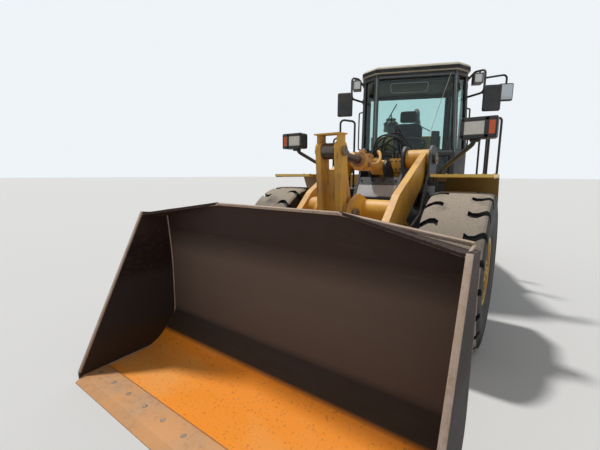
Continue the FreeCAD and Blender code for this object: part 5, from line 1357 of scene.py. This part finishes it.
@dataclass
class Cab:
    """Window seals, wipers, handles, the seat and what else shows inside the cab."""

    shop: Workshop
    front_half: float = 550.0
    side_half: float = 740.0
    front_y: float = -640.0
    rear_y: float = 840.0
    corner_y: float = -440.0
    floor_z: float = 1520.0
    belt_z: float = 2080.0
    top_z: float = 3235.0
    rake: float = 230.0
    seal_depths: Pair = (14.0, 36.0)
    seal_inset: float = 5.0
    door_y: Pair = (-150.0, 500.0)
    door_z: Pair = (1580.0, 3160.0)

    def point(self, wall: int, along: float, deep: float, z: float, lean: float,
              from_end: bool = False) -> Point:
        """A point of a cab wall.

        Args:
            wall: The wall, counter-clockwise from the front.
            along: Distance along the wall.
            deep: Distance behind its outer face.
            z: Height.
            lean: How far it leans with the front.
            from_end: Whether the distance starts at the wall's end.

        Returns:
            The point.
        """
        f, s = self.front_half, self.side_half
        corners = [(-f, self.front_y), (f, self.front_y), (s, self.corner_y), (s, self.rear_y),
                   (-s, self.rear_y), (-s, self.corner_y)]
        a, b = Vector(corners[wall]), Vector(corners[(wall + 1) % 6])
        way = (b - a).normalized()
        inward = Vector((-way.y, way.x))
        at = (b - way * along if from_end else a + way * along) + inward * deep
        rise = max(0.0, (z - self.belt_z) / (self.top_z - self.belt_z))
        return (at.x, at.y + self.rake * rise * lean, z)

    def seals(self) -> None:
        """Black rubber round every pane, on both faces of the wall.

        A row is a wall, the frame's widths at its start and end, the pane's low and high edge, and how far the
        wall leans with the front at its start and end.
        """
        sill, head, side_head = self.belt_z + 40, self.top_z - 70, self.top_z - 105
        inset = self.seal_inset
        rows = ((0, 34, 34, sill, head, 1, 1), (0, 60, 60, self.floor_z + 120, self.belt_z - 40, 1, 1),
                (1, 40, 48, sill, head, 1, 1), (5, 48, 40, sill, head, 1, 1),
                (3, 90, 90, sill, side_head, 0, 0), (4, 480, 70, sill, side_head, 0, 1),
                (4, 90, 860, sill, side_head, 0, 0), (2, 1000, 90, sill, side_head, 0, 0))
        loops = []
        for wall, start, end, z0, z1, lean0, lean1 in rows:
            start, end, low, high = start + inset, end + inset, z0 + inset, z1 - inset
            for deep in self.seal_depths:
                loops.append([self.point(wall, start, deep, low, lean0),
                              self.point(wall, end, deep, low, lean1, True),
                              self.point(wall, end, deep, high, lean1, True),
                              self.point(wall, start, deep, high, lean0)])
        self.shop.pipe("window_seals", loops, 7.0, "rear_frame", Half.REAR, "lamp_black", "seal",
                       Run.STRAIGHT, True)
        y0, y1 = self.door_y[0] + 68, self.door_y[1] - 68
        z0, z1 = self.door_z[0] + 150, self.door_z[1] - 62
        x = self.side_half - 8
        loop = [(x, y0 + 6, z0 + 6), (x, y1 - 6, z0 + 6), (x, y1 - 6, z1 - 6), (x, y0 + 6, z1 - 6)]
        self.shop.pipe("door_seal", [loop], 7.0, "cab_door", Half.REAR, "lamp_black", "seal",
                       Run.STRAIGHT, True)

    def screen(self, x: float, z: float, deep: float) -> Vector:
        """A point on the windscreen.

        Args:
            x: Its place across.
            z: Its height.
            deep: How far it stands behind the outer face.

        Returns:
            The point.
        """
        rise = max(0.0, (z - self.belt_z) / (self.top_z - self.belt_z))
        return Vector((x, self.front_y + deep + self.rake * rise, z))

    def borders(self) -> None:
        """The dark bonded border of the windscreen and the pale edges of its glass."""
        run = Vector((0, self.rake, self.top_z - self.belt_z))
        band, edge = bmesh.new(), bmesh.new()
        middle = (self.belt_z + self.top_z) / 2
        for z, wide in ((self.top_z - 35, 66), (self.belt_z + 20, 36)):
            add_slab(band, (2 * self.front_half - 10, 4, wide), upright(self.screen(0, z, -1), run), 1.5)
        for s in (1, -1):
            side = self.screen(s * (self.front_half - 18), middle, -1)
            add_slab(band, (30, 4, run.length - 10), upright(side, run), 1.5)
            rim = self.screen(s * (self.front_half - 4), middle, -2)
            add_slab(edge, (8, 6, run.length - 4), upright(rim, run), 2)
        self.shop.piece("screen_border", band, "rear_frame", Half.REAR, "glass", ("band",))
        self.shop.piece("screen_edges", edge, "rear_frame", Half.REAR, "glass", ("mint",))

    def wipers(self) -> None:
        """The screen's wiper with its two arms, the rear wiper, and the thin aerial in front of the screen."""
        bm = bmesh.new()
        low_a, low_b = self.screen(-60, 2150, -16), self.screen(-20, 2150, -16)
        high_a, high_b = self.screen(-330, 2560, -16), self.screen(-290, 2575, -16)
        add_rod(bm, low_a, high_a, 6, sides=10)
        add_rod(bm, low_b, high_b, 6, sides=10)
        blade_a, blade_b = self.screen(-400, 2500, -6), self.screen(-250, 2780, -6)
        add_rod(bm, blade_a, blade_b, 8, sides=8)
        add_rod(bm, (high_a + high_b) / 2, (blade_a + blade_b) / 2, 9, sides=8)
        for at in (low_a, low_b):
            add_rod(bm, at + Vector((0, 22, -2)), at - Vector((0, 10, 0)), 16, sides=16, edge=3)
        add_slab(bm, (110, 22, 60), Matrix.Translation(self.screen(-40, 2098, -8)), 6)
        rear_a, rear_b = Vector((60, self.rear_y + 12, 2150)), Vector((300, self.rear_y + 12, 2620))
        add_rod(bm, rear_a, rear_b, 6, sides=10)
        add_rod(bm, Vector((170, self.rear_y + 8, 2700)), Vector((420, self.rear_y + 8, 2560)), 8, sides=8)
        add_rod(bm, rear_a + Vector((0, -24, 0)), rear_a + Vector((0, 10, 0)), 16, sides=16, edge=3)
        self.shop.piece("wipers", bm, "rear_frame", Half.REAR, "lamp_black")
        wire = [self.screen(470, 3190, -4), self.screen(330, 2740, -7), self.screen(210, 2330, -4)]
        self.shop.pipe("aerial", [wire], 3.5, "rear_frame", Half.REAR, "roof", "blank_plate", Run.STRAIGHT)

    def door_parts(self) -> None:
        """Handle, lock and grab bar of the door, and grab bars on the cab's corners."""
        x = self.side_half
        bm = bmesh.new()
        add_block(bm, (x - 1, 396, 1980), (x + 10, 476, 2080), 4)
        add_block(bm, (x + 8, 404, 2046), (x + 30, 468, 2066), 5)
        add_rod(bm, (x + 8, 436, 2004), (x + 14, 436, 2004), 12, sides=16)
        self.shop.piece("door_handle", bm, "cab_door", Half.REAR, "lamp_black")
        bar = self.grab_bar(1, 452, 2200, 2695, 4, 50)
        self.shop.pipe("door_grab_bar", [bar], 11.0, "cab_door", Half.REAR, "lamp_black")
        bars = [self.grab_bar(s, y, low, high, 3, 56) for s, y, low, high in ((1, -240, 2160, 2735),
                                                                              (-1, -240, 2160, 2735),
                                                                              (1, 560, 2140, 2815))]
        self.shop.pipe("cab_grab_bars", bars, 11.0, "rear_frame", Half.REAR, "lamp_black")

    def grab_bar(self, s: int, y: float, low: float, high: float, sunk: float, away: float) -> list[Point]:
        """The path of a grab bar that stands off the cab's side.

        Args:
            s: 1 on the left and -1 on the right.
            y: Its place along the cab.
            low: Height of its lower foot.
            high: Height of its upper foot.
            sunk: How far its feet go into the side.
            away: How far it stands off the side.

        Returns:
            The path's points.
        """
        foot, near, far = (s * (self.side_half + reach) for reach in (-sunk, away - 4, away))
        return [(foot, y, low), (near, y, low + 5), (far, y, low + 30), (far, y, high - 35),
                (near, y, high - 5), (foot, y, high)]

    def inside(self) -> None:
        """Headlining, dash, display, levers, armrests, mat, pedals and the trim loop behind the screen."""
        bm = bmesh.new()
        add_block(bm, (-600, -300, self.top_z - 62), (600, 740, self.top_z - 34), 10)
        add_block(bm, (-470, -330, self.top_z - 100), (470, -210, self.top_z - 60), 16)
        add_block(bm, (-130, -560, 2000), (130, -400, 2105), 24)
        add_block(bm, (-440, -560, self.floor_z + 42), (440, -470, 1980), 20)
        add_block(bm, (-420, 0, 2122), (-312, 470, 2166), 14)
        add_block(bm, (306, 40, 2122), (414, 470, 2160), 14)
        for k, x in enumerate((-396, -366, -336)):
            add_rod(bm, (x, 30 + 14 * k, 2160), (x, 10 + 14 * k, 2262), 7, sides=12)
            add_rod(bm, (x, 10 + 14 * k, 2258), (x, 6 + 14 * k, 2304), 17, tip=13, sides=16, edge=5)
        add_block(bm, (-420, -560, self.floor_z + 40), (420, -90, self.floor_z + 52), 4)
        for x in (-150, 150, 260):
            pedal = Matrix.Translation((x, -420, self.floor_z + 110)) @ Matrix.Rotation(-0.9, 4, "X")
            add_slab(bm, (90, 14, 150), pedal, 5)
        self.shop.piece("cab_trim", bm, "rear_frame", Half.REAR, "interior")
        bm = bmesh.new()
        stand = Matrix.Translation((330, -330, 2300)) @ Matrix.Rotation(0.35, 4, "Z")
        add_slab(bm, (120, 46, 230), stand, 16)
        add_rod(bm, (345, -320, 2060), (335, -325, 2200), 16, sides=12)
        add_block(bm, (300, -370, 2040), (480, -240, 2064), 8)
        self.shop.piece("monitor", bm, "rear_frame", Half.REAR, "interior")
        bm = bmesh.new()
        add_slab(bm, (98, 3, 180), stand @ Matrix.Translation((0, 24, 6)), 1)
        self.shop.piece("monitor_screen", bm, "rear_frame", Half.REAR, "glass", ("screen",))
        route = ((-330, 2985), (-300, 2960), (140, 2960), (170, 2985), (185, 3075), (160, 3100), (-320, 3100),
                 (-345, 3075))
        loop = [self.screen(x, z, 60) for x, z in route]
        self.shop.pipe("screen_trim_loop", [loop], 3.5, "rear_frame", Half.REAR, "roof", "blank_plate",
                       Run.STRAIGHT, True)

    def cushion(self, name: str, low: Point, high: Point, face: int, crown: float, channels: tuple[float, ...]) -> bpy.types.Object:
        """A crowned cushion whose corners pull in, with sewn channels across its face.

        Args:
            name: The piece's name.
            low: Its low corner.
            high: Its high corner.
            face: The axis that its crowned face looks along.
            crown: How far the face stands up in its middle.
            channels: Places of the sewn channels across it, from -1 to 1.

        Returns:
            The object.
        """
        low, high = Vector(low), Vector(high)
        centre, half = (low + high) / 2, (high - low) / 2
        boxy, seam_depth, across, down, sunk = 6.0, 7.0, 0.035, 0.03, 0.55
        bm = bmesh.new()
        bmesh.ops.create_cube(bm, size=2.0)
        bmesh.ops.subdivide_edges(bm, edges=bm.edges[:], cuts=27, use_grid_fill=True)
        others = [axis for axis in range(3) if axis != face]
        sign = -1.0 if face == 1 else 1.0
        for vert in bm.verts:
            p = vert.co.copy()
            u, v = p[others[0]], p[others[1]]
            rounded = p / sum(abs(c) ** boxy for c in p) ** (1.0 / boxy)
            outer = max(0.0, sign * p[face])
            swell = crown * max(0.0, 1.0 - u ** 4) * max(0.0, 1.0 - v ** 4) * outer
            sewn = sum(math.exp(-((v - c) / across) ** 2) for c in channels)
            sewn += 0.8 * sum(math.exp(-((u - c) / down) ** 2) for c in channels if abs(c) > 0.5)
            at = Vector([rounded[i] * half[i] for i in range(3)])
            pulled = seam_depth * sewn * outer * max(0.0, 1.0 - u ** 6)
            at[face] += sign * (swell - pulled) - sign * crown * outer * sunk
            vert.co = centre + at
        piece = self.shop.piece(name, bm, "rear_frame", Half.REAR, "seat", sharp=80.0)
        return piece

    def seat(self) -> None:
        """The seat: padded cushion, back and headrest on their base, in place of the plain CAD seat."""
        height = self.top_z - self.floor_z
        z = self.floor_z + 40
        (sit0, sit1), (back0, back1), (rest0, rest1), (stalk0, stalk1) = (
            [z + height * share for share in shares]
            for shares in ((0.192, 0.262), (0.274, 0.63), (0.642, 0.752), (0.618, 0.653)))
        parts = [self.cushion("seat_cushion", (-250, 0, sit0), (250, 480, sit1), 2, 22.0,
                              (-0.62, -0.2, 0.62)),
                 self.cushion("seat_back", (-240, 400, back0), (240, 520, back1), 1, 26.0,
                              (-0.6, -0.2, 0.2, 0.62)),
                 self.cushion("seat_headrest", (-130, 420, rest0), (130, 510, rest1), 1, 14.0, ())]
        for part in parts:
            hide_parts("seat")
        bm = bmesh.new()
        for k in range(5):
            low, high = z + 120 + 34 * k, z + 137 + 34 * k
            add_block(bm, (-140 + 4 * (k % 2), 90, low), (140 - 4 * (k % 2), 410, high), 7)
            add_block(bm, (-130, 100, high - 4), (130, 400, high + 21), 4)
        add_block(bm, (-150, 80, z), (150, 420, z + 120), 14)
        add_block(bm, (-205, 30, sit0 - 34), (205, 450, sit0 + 4), 10)
        add_block(bm, (-200, 470, z + height * 0.2), (200, 498, z + height * 0.32), 8)
        for x in (-60, 60):
            add_rod(bm, (x, 465, stalk0 - 20), (x, 465, stalk1 + 10), 7, sides=12)
        for s in (1, -1):
            add_slab(bm, (60, 330, 46), Matrix.Translation((s * 285, 250, sit1 + 150)), 18)
            add_slab(bm, (22, 60, 190), Matrix.Translation((s * 262, 440, sit1 + 70)), 8)
        self.shop.piece("seat_base", bm, "rear_frame", Half.REAR, "interior")
        seams = [[(-238, y, sit0 + 60), (238, y, sit0 + 60)] for y in (8, 472)]
        self.shop.pipe("seat_piping", seams, 3.0, "rear_frame", Half.REAR, "seat", "piping", Run.STRAIGHT)

    def roof_trim(self) -> None:
        """The rain gutter round the roof."""
        f, s, z = self.front_half + 8, self.side_half + 23, self.top_z
        y0, y1, y2 = self.front_y + self.rake - 63, self.corner_y + self.rake - 61, self.rear_y + 43
        bm = bmesh.new()
        plan = [(f, y0, 16.6), (s, y1, 33.0), (s, y2, 90.0), (-s, y2, 90.0), (-s, y1, 33.0), (-f, y0, 16.6)]
        corners = [bm.verts.new((x, y, z + 3)) for x, y, _ in plan]
        for a, b in zip(corners, corners[1:] + corners[:1]):
            bm.edges.new((a, b))
        for corner, (_, _, cut) in zip(corners, plan):
            bmesh.ops.bevel(bm, geom=[corner], offset=cut, affect="VERTICES", segments=8, profile=0.5,
                            material=-1)
        raised = bmesh.ops.extrude_edge_only(bm, edges=bm.edges[:])["geom"]
        rim = [item for item in raised if isinstance(item, bmesh.types.BMVert)]
        bmesh.ops.translate(bm, verts=rim, vec=(0, 0, 50))
        bmesh.ops.recalc_face_normals(bm, faces=bm.faces)
        bmesh.ops.solidify(bm, geom=bm.faces[:], thickness=4.0)
        self.shop.piece("roof_gutter", bm, "rear_frame", Half.REAR, "lamp_black", ("seal",), recalculate=True)

    def build(self) -> None:
        """Make all of it."""
        self.seals()
        self.borders()
        self.wipers()
        self.door_parts()
        self.inside()
        self.seat()
        self.roof_trim()


@dataclass
class Body:
    """Hood, tanks, steps, counterweight and fenders: latches, caps, studs, flaps and bolts."""

    shop: Workshop
    hood_half: float = 620.0
    hood_top: float = 2480.0
    deck_top: float = 1540.0
    fender_top: float = 1780.0
    stack: Pair = (260.0, 1500.0)
    cleaner: Pair = (-250.0, 1420.0)
    rear_axle_y: float = 1650.0
    drive_face: float = 830.0

    def hood(self) -> None:
        """Latches and seams of the hood."""
        w, z = self.hood_half, self.hood_top
        bm = bmesh.new()
        for s in (1, -1):
            for y in (1500, 2660):
                place = Matrix.Translation((s * (w + 3), y, 1862))
                add_slab(bm, (8, 120, 46), place, 3)
                add_slab(bm, (16, 70, 18), Matrix.Translation((s * (w + 10), y, 1862)), 5)
                add_rod(bm, (s * (w + 6), y + 44, 1862), (s * (w + 12), y + 44, 1862), 9, sides=14)
        self.shop.piece("hood_latches", bm, "rear_frame", Half.REAR, "lamp_black")
        seams = [[(s * (w + 1.5), y, 1600) for y in (905, 1160, 3380)] for s in (1, -1)]
        seams += [[(s * (w - 60), y, z + 1.5) for y in (940, 2400)] for s in (1, -1)]
        self.shop.pipe("hood_seams", seams, 4.0, "rear_frame", Half.REAR, "yellow", "cab_black", Run.STRAIGHT)

    def exhaust(self) -> None:
        """The stack's rings and holes, and the cleaner's clamps and cap."""
        z = self.hood_top
        bm = bmesh.new()
        stack = spot((*self.stack, z), (0, 0, 1))
        for low in (6, 300):
            add_spin(bm, [(low, 66), (low, 74), (low + 16, 74), (low + 16, 66)], stack, 36, closed=True)
        for k in range(6):
            middle = Vector((*self.stack, z + 60 + 40 * k))
            for at in ring_of(middle, (0, 0, 1), 64, 12, 15.0 * (k % 2)):
                add_rod(bm, at, at + (at - middle).normalized() * 3, 9, sides=8)
        cleaner = spot((*self.cleaner, z), (0, 0, 1))
        for low in (176, 290):
            add_spin(bm, [(low, 134), (low, 141), (low + 14, 141), (low + 14, 134)], cleaner, 40, closed=True)
        add_spin(bm, [(379, 72), (384, 100), (396, 104), (410, 92), (418, 60), (420, 0.5)], cleaner, 40)
        self.shop.piece("stack_fittings", bm, "rear_frame", Half.REAR, "dark", ("casting",), recalculate=True)

    def grille(self) -> None:
        """The bolts round the hood, and the grille's mesh and latch."""
        bm = bmesh.new()
        for s in (1, -1):
            for y in (1000, 1800, 2600):
                add_bolt(bm, (s * self.hood_half, y, 1370), (s, 0, 0), 24)
        for x in (-560, 560):
            for z in (1480, 1780, 2080):
                add_bolt(bm, (x, 3480, z), (0, 1, 0), 22)
        self.shop.piece("hood_bolts", bm, "rear_frame", Half.REAR, "pin", ("bolt",))
        bm = bmesh.new()
        add_block(bm, (-455, 3452, 1465), (455, 3455, 2095))
        self.shop.piece("grille_mesh", bm, "rear_grille", Half.REAR, "dark", ("mesh",))
        bm = bmesh.new()
        add_block(bm, (-486, 3481, 1740), (-452, 3500, 1830), 6)
        add_rod(bm, (-469, 3498, 1785), (-469, 3510, 1785), 12, sides=16, edge=2)
        self.shop.piece("grille_latch", bm, "rear_grille", Half.REAR, "lamp_black")

    def steps(self) -> None:
        """Stud plates on decks and treads, filler caps, tank straps and the feet of the rails."""
        d = self.deck_top
        bm = bmesh.new()
        for s in (1, -1):
            for outer, y0, y1 in ((1370, 170, 862), (1060, -120, 165)):
                low, high = sorted((s * 790, s * outer))
                add_block(bm, (low, y0, d - 1), (high, y1, d + 4), 2)
        for z in (460, 790, 1130):
            add_block(bm, (1104, 454, z - 1), (1366, 766, z + 4), 2)
        self.shop.piece("stud_plates", bm, "rear_frame", Half.REAR, "dark", ("studs",))
        bm = bmesh.new()
        for z in (930, 1380):
            add_slab(bm, (6, 384, 44), Matrix.Translation((-1302, 610, z)), 2)
        for x in (-1171, 700):
            add_rod(bm, (x, 420, 1300), (x, 392, 1300), 46, sides=28, edge=6)
        add_rod(bm, (700, 394, 1300), (700, 380, 1300), 20, sides=6)
        for x in (480, 900):
            add_slab(bm, (44, 6, 620), Matrix.Translation((x, 418, 1160)), 2)
        self.shop.piece("tank_fittings", bm, "rear_frame", Half.REAR, "dark", ("cab_black",))
        bm = bmesh.new()
        foot = [(0, 18), (0, 40), (8, 42), (10, 20), (26, 18)]
        left = ((1368, 190), (1258, 340), (1368, 830), (1258, 850))
        right = ((-1120, 60), (-880, 60), (-1330, 830), (-1130, 830))
        for x, y in left + right:
            add_spin(bm, foot, spot((x, y, d + 1)), 20)
            if x > 0:
                for at in ring_of((x, y, d + 9), (0, 0, 1), 31, 4, 45.0):
                    add_bolt(bm, at, (0, 0, 1), 9)
        self.shop.piece("rail_feet", bm, "rear_frame", Half.REAR, "lamp_black", recalculate=True)

    def weight(self) -> None:
        """Hitch pin, lifting eyes and bolts of the counterweight."""
        bm = bmesh.new()
        add_rod(bm, (0, 3655, 700), (0, 3655, 916), 25, sides=24, edge=3)
        add_rod(bm, (0, 3655, 910), (0, 3655, 924), 42, sides=24, edge=3)
        self.shop.piece("hitch_pin", bm, "rear_frame", Half.REAR, "pin")
        bm = bmesh.new()
        for s in (1, -1):
            for y in (3380, 3600):
                add_bolt(bm, (s * 480, y, 1330), (0, 0, 1), 44)
            for z in (760, 1200):
                add_bolt(bm, (s * 1180, 3150, z), (s, 0, 0), 40)
        self.shop.piece("weight_bolts", bm, "rear_frame", Half.REAR, "pin", ("bolt",))
        arch = ((3440, 1326), (3440, 1400), (3520, 1400), (3520, 1326))
        eyes = [[(s * 760, y, z) for y, z in arch] for s in (1, -1)]
        self.shop.pipe("lifting_eyes", eyes, 16.0, "rear_frame", Half.REAR, "dark")

    def fenders(self) -> None:
        """Rubber flaps, stays and bolts of the fenders."""
        bm = bmesh.new()
        for s in (1, -1):
            low, high = sorted((s * 790, s * 1330))
            add_block(bm, (low, -806, 1120), (high, -796, 1330), 3)
        self.shop.piece("front_flaps", bm, "front_frame", Half.FRONT, "lamp_black", ("hose",))
        bm = bmesh.new()
        for s in (1, -1):
            for y in (-1640, -1360, -1120):
                add_slab(bm, (540, 26, 26), Matrix.Translation((s * 1055, y, self.fender_top - 25)), 4)
            for x in (800, 900, 1180, 1300):
                add_bolt(bm, (s * x, -1100, self.fender_top), (0, 0, 1), 18)
        self.shop.piece("front_fender_stays", bm, "front_frame", Half.FRONT, "yellow", ("yellow",))
        bm = bmesh.new()
        for s in (1, -1):
            low, high = sorted((s * 700, s * 1350))
            add_block(bm, (low, 2546, 1060), (high, 2556, 1345), 3)
        self.shop.piece("rear_flaps", bm, "rear_frame", Half.REAR, "lamp_black", ("hose",))
        bm = bmesh.new()
        for s in (1, -1):
            low, high = sorted((s * 1345, s * 1376))
            add_block(bm, (low, 930, self.fender_top - 34), (high, 2310, self.fender_top - 10), 4)
            for y in (1000, 1500, 2000, 2280):
                add_bolt(bm, (s * 1330, y, self.fender_top), (0, 0, 1), 18)
        self.shop.piece("rear_fender_rails", bm, "rear_frame", Half.REAR, "yellow")

    def chassis(self) -> None:
        """Bolts at the articulation pins, the rear axle and the frame."""
        bm = bmesh.new()
        for z in (1183, 613):
            for at in ring_of((0, 0, z + 40), (0, 0, 1), 68, 6, 30.0):
                add_bolt(bm, at, (0, 0, 1), 16)
        for s in (1, -1):
            for at in ring_of((s * self.drive_face, self.rear_axle_y, AXLE_Z), (s, 0, 0), 102, 12):
                add_bolt(bm, at, (s, 0, 0), 20)
            for y in (1230, 2050, 3000):
                add_bolt(bm, (s * 340, y, 1060), (s, 0, 0), 24)
        self.shop.piece("chassis_bolts", bm, "rear_frame", Half.REAR, "pin", ("bolt",))

    def build(self) -> None:
        """Make all of it."""
        self.hood()
        self.exhaust()
        self.grille()
        self.steps()
        self.weight()
        self.fenders()
        self.chassis()


@dataclass
class Loader:
    """The whole machine: dresses the CAD nodes and builds the finer pieces."""

    shop: Workshop
    special: dict[str, str] = field(default_factory=lambda: {
        "front_fenders": "bright_yellow", "bell_crank": "crank_yellow", "front_frame": "frame_navy",
        "tilt_barrel": "crank_yellow", "tilt_link": "crank_yellow", "tilt_rod": "dark_rod",
        "cab_shell": "cab_black", "cab_door": "cab_black", "radiator": "mesh"})

    def finishes(self) -> None:
        """Make the finishes."""
        for name, finish in FINISHES.items():
            self.shop.finishes[name] = finish.build()
        self.shop.finishes["bucket_steel"] = BucketSteel(pivot=tuple(self.shop.pivot)).build()

    def dress(self) -> None:
        """Give every CAD node its finish."""
        slots = {part["node"]: part["material_slot"] for part in self.shop.frame["record"]["subparts"]}
        for name, node in self.shop.frame["nodes"].items():
            finish = self.special.get(name, slots[name])
            node.data.materials.clear()
            node.data.materials.append(self.shop.finishes[finish])
            LOG.info("dressed %s with %s", name, finish)

    def build(self) -> None:
        """Dress the nodes and make every finer piece."""
        self.finishes()
        self.dress()
        for part in (Wheels, Bucket, Boom, Lamps, Cab, Body):
            LOG.info("building %s", part.__name__)
            part(self.shop).build()


@dataclass
class Studio:
    """Floor, backdrop, light and the camera."""

    lens_px: float = 319.4
    photo_px: float = 600.0
    sensor_mm: float = 36.0
    place: Point = (1.608, -5.331, 1.770)
    yaw: float = -35.18
    pitch: float = -8.94
    roll: float = 0.13
    floor_colour: Colour = (0.62, 0.61, 0.59)
    sun_from: Point = (-0.38, 0.10, 1.0)
    sun_strength: float = 2.5
    sun_degrees: float = 5.0
    sky_colour: Colour = (0.93, 0.96, 1.0)
    sky_strength: float = 0.42
    backdrop: Colour = (0.86, 0.90, 0.94)
    stage_size: float = 400.0

    def build(self, pivot: Vector) -> None:
        """Make the stage and the camera.

        Args:
            pivot: The articulation pin on the ground, in the row frame.
        """
        bpy.ops.mesh.primitive_plane_add(size=self.stage_size)
        floor = bpy.context.object
        floor.name = "floor"
        material, _, shader = begin("floor")
        shader.inputs["Base Color"].default_value = (*self.floor_colour, 1.0)
        shader.inputs["Roughness"].default_value = 0.95
        floor.data.materials.append(material)
        self.sky()
        sun = bpy.data.lights.new("sun", "SUN")
        sun.energy = self.sun_strength
        sun.angle = math.radians(self.sun_degrees)
        lamp = bpy.data.objects.new("sun", sun)
        bpy.context.scene.collection.objects.link(lamp)
        lamp.rotation_euler = Vector(self.sun_from).to_track_quat("Z", "Y").to_euler()
        self.camera(pivot)

    def sky(self) -> None:
        """A soft world that lights the object, and a pale one behind it."""
        world = bpy.data.worlds.new("studio")
        bpy.context.scene.world = world
        world.use_nodes = True
        tree = world.node_tree
        light = tree.nodes["Background"]
        light.inputs["Color"].default_value = (*self.sky_colour, 1.0)
        light.inputs["Strength"].default_value = self.sky_strength
        seen = tree.nodes.new("ShaderNodeBackground")
        seen.inputs["Color"].default_value = (*self.backdrop, 1.0)
        seen.inputs["Strength"].default_value = 1.0
        rays = tree.nodes.new("ShaderNodeLightPath").outputs
        shows = arithmetic(tree, "MAXIMUM", rays["Is Camera Ray"], rays["Is Glossy Ray"])
        shows = arithmetic(tree, "MAXIMUM", shows, rays["Is Transmission Ray"])
        blend = tree.nodes.new("ShaderNodeMixShader")
        tree.links.new(shows, blend.inputs[0])
        tree.links.new(light.outputs[0], blend.inputs[1])
        tree.links.new(seen.outputs[0], blend.inputs[2])
        tree.links.new(blend.outputs[0], tree.nodes["World Output"].inputs["Surface"])

    def camera(self, pivot: Vector) -> None:
        """Place the camera as the photograph was taken.

        Args:
            pivot: The articulation pin on the ground, in the row frame.
        """
        data = bpy.data.cameras.new("camera")
        data.sensor_width = self.sensor_mm
        data.lens = self.lens_px / self.photo_px * self.sensor_mm
        data.clip_end = 500.0
        camera = bpy.data.objects.new("camera", data)
        bpy.context.scene.collection.objects.link(camera)
        yaw, pitch, roll = (math.radians(a) for a in (self.yaw, self.pitch, self.roll))
        look = Vector((math.sin(yaw) * math.cos(pitch), math.cos(yaw) * math.cos(pitch), math.sin(pitch)))
        right = Vector((math.cos(yaw), -math.sin(yaw), 0.0))
        up = right.cross(look)
        rolled_right = right * math.cos(roll) + up * math.sin(roll)
        rolled_up = up * math.cos(roll) - right * math.sin(roll)
        turn = Matrix((rolled_right, rolled_up, -look)).transposed()
        camera.matrix_world = Matrix.Translation(pivot + Vector(self.place)) @ turn.to_4x4()
        bpy.context.scene.camera = camera


def joint_place(frame: dict, name: str) -> Vector:
    """Where a joint's axis stands, in the row frame.

    Args:
        name: The joint's name.

    Returns:
        The joint's position.
    """
    return Vector(next(joint["pos_m"] for joint in frame["joints"] if joint["name"] == name))


def main() -> None:
    """Build the scene in order."""
    logging.basicConfig(level=logging.INFO, format="%(name)s: %(message)s")
    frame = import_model()
    pivot = joint_place(frame, "steer")
    pivot.z = 0.0
    Loader(Workshop(frame, pivot)).build()
    Studio().build(pivot)
    bpy.context.scene.view_settings.view_transform = "Standard"


if __name__ == "__main__":
    main()
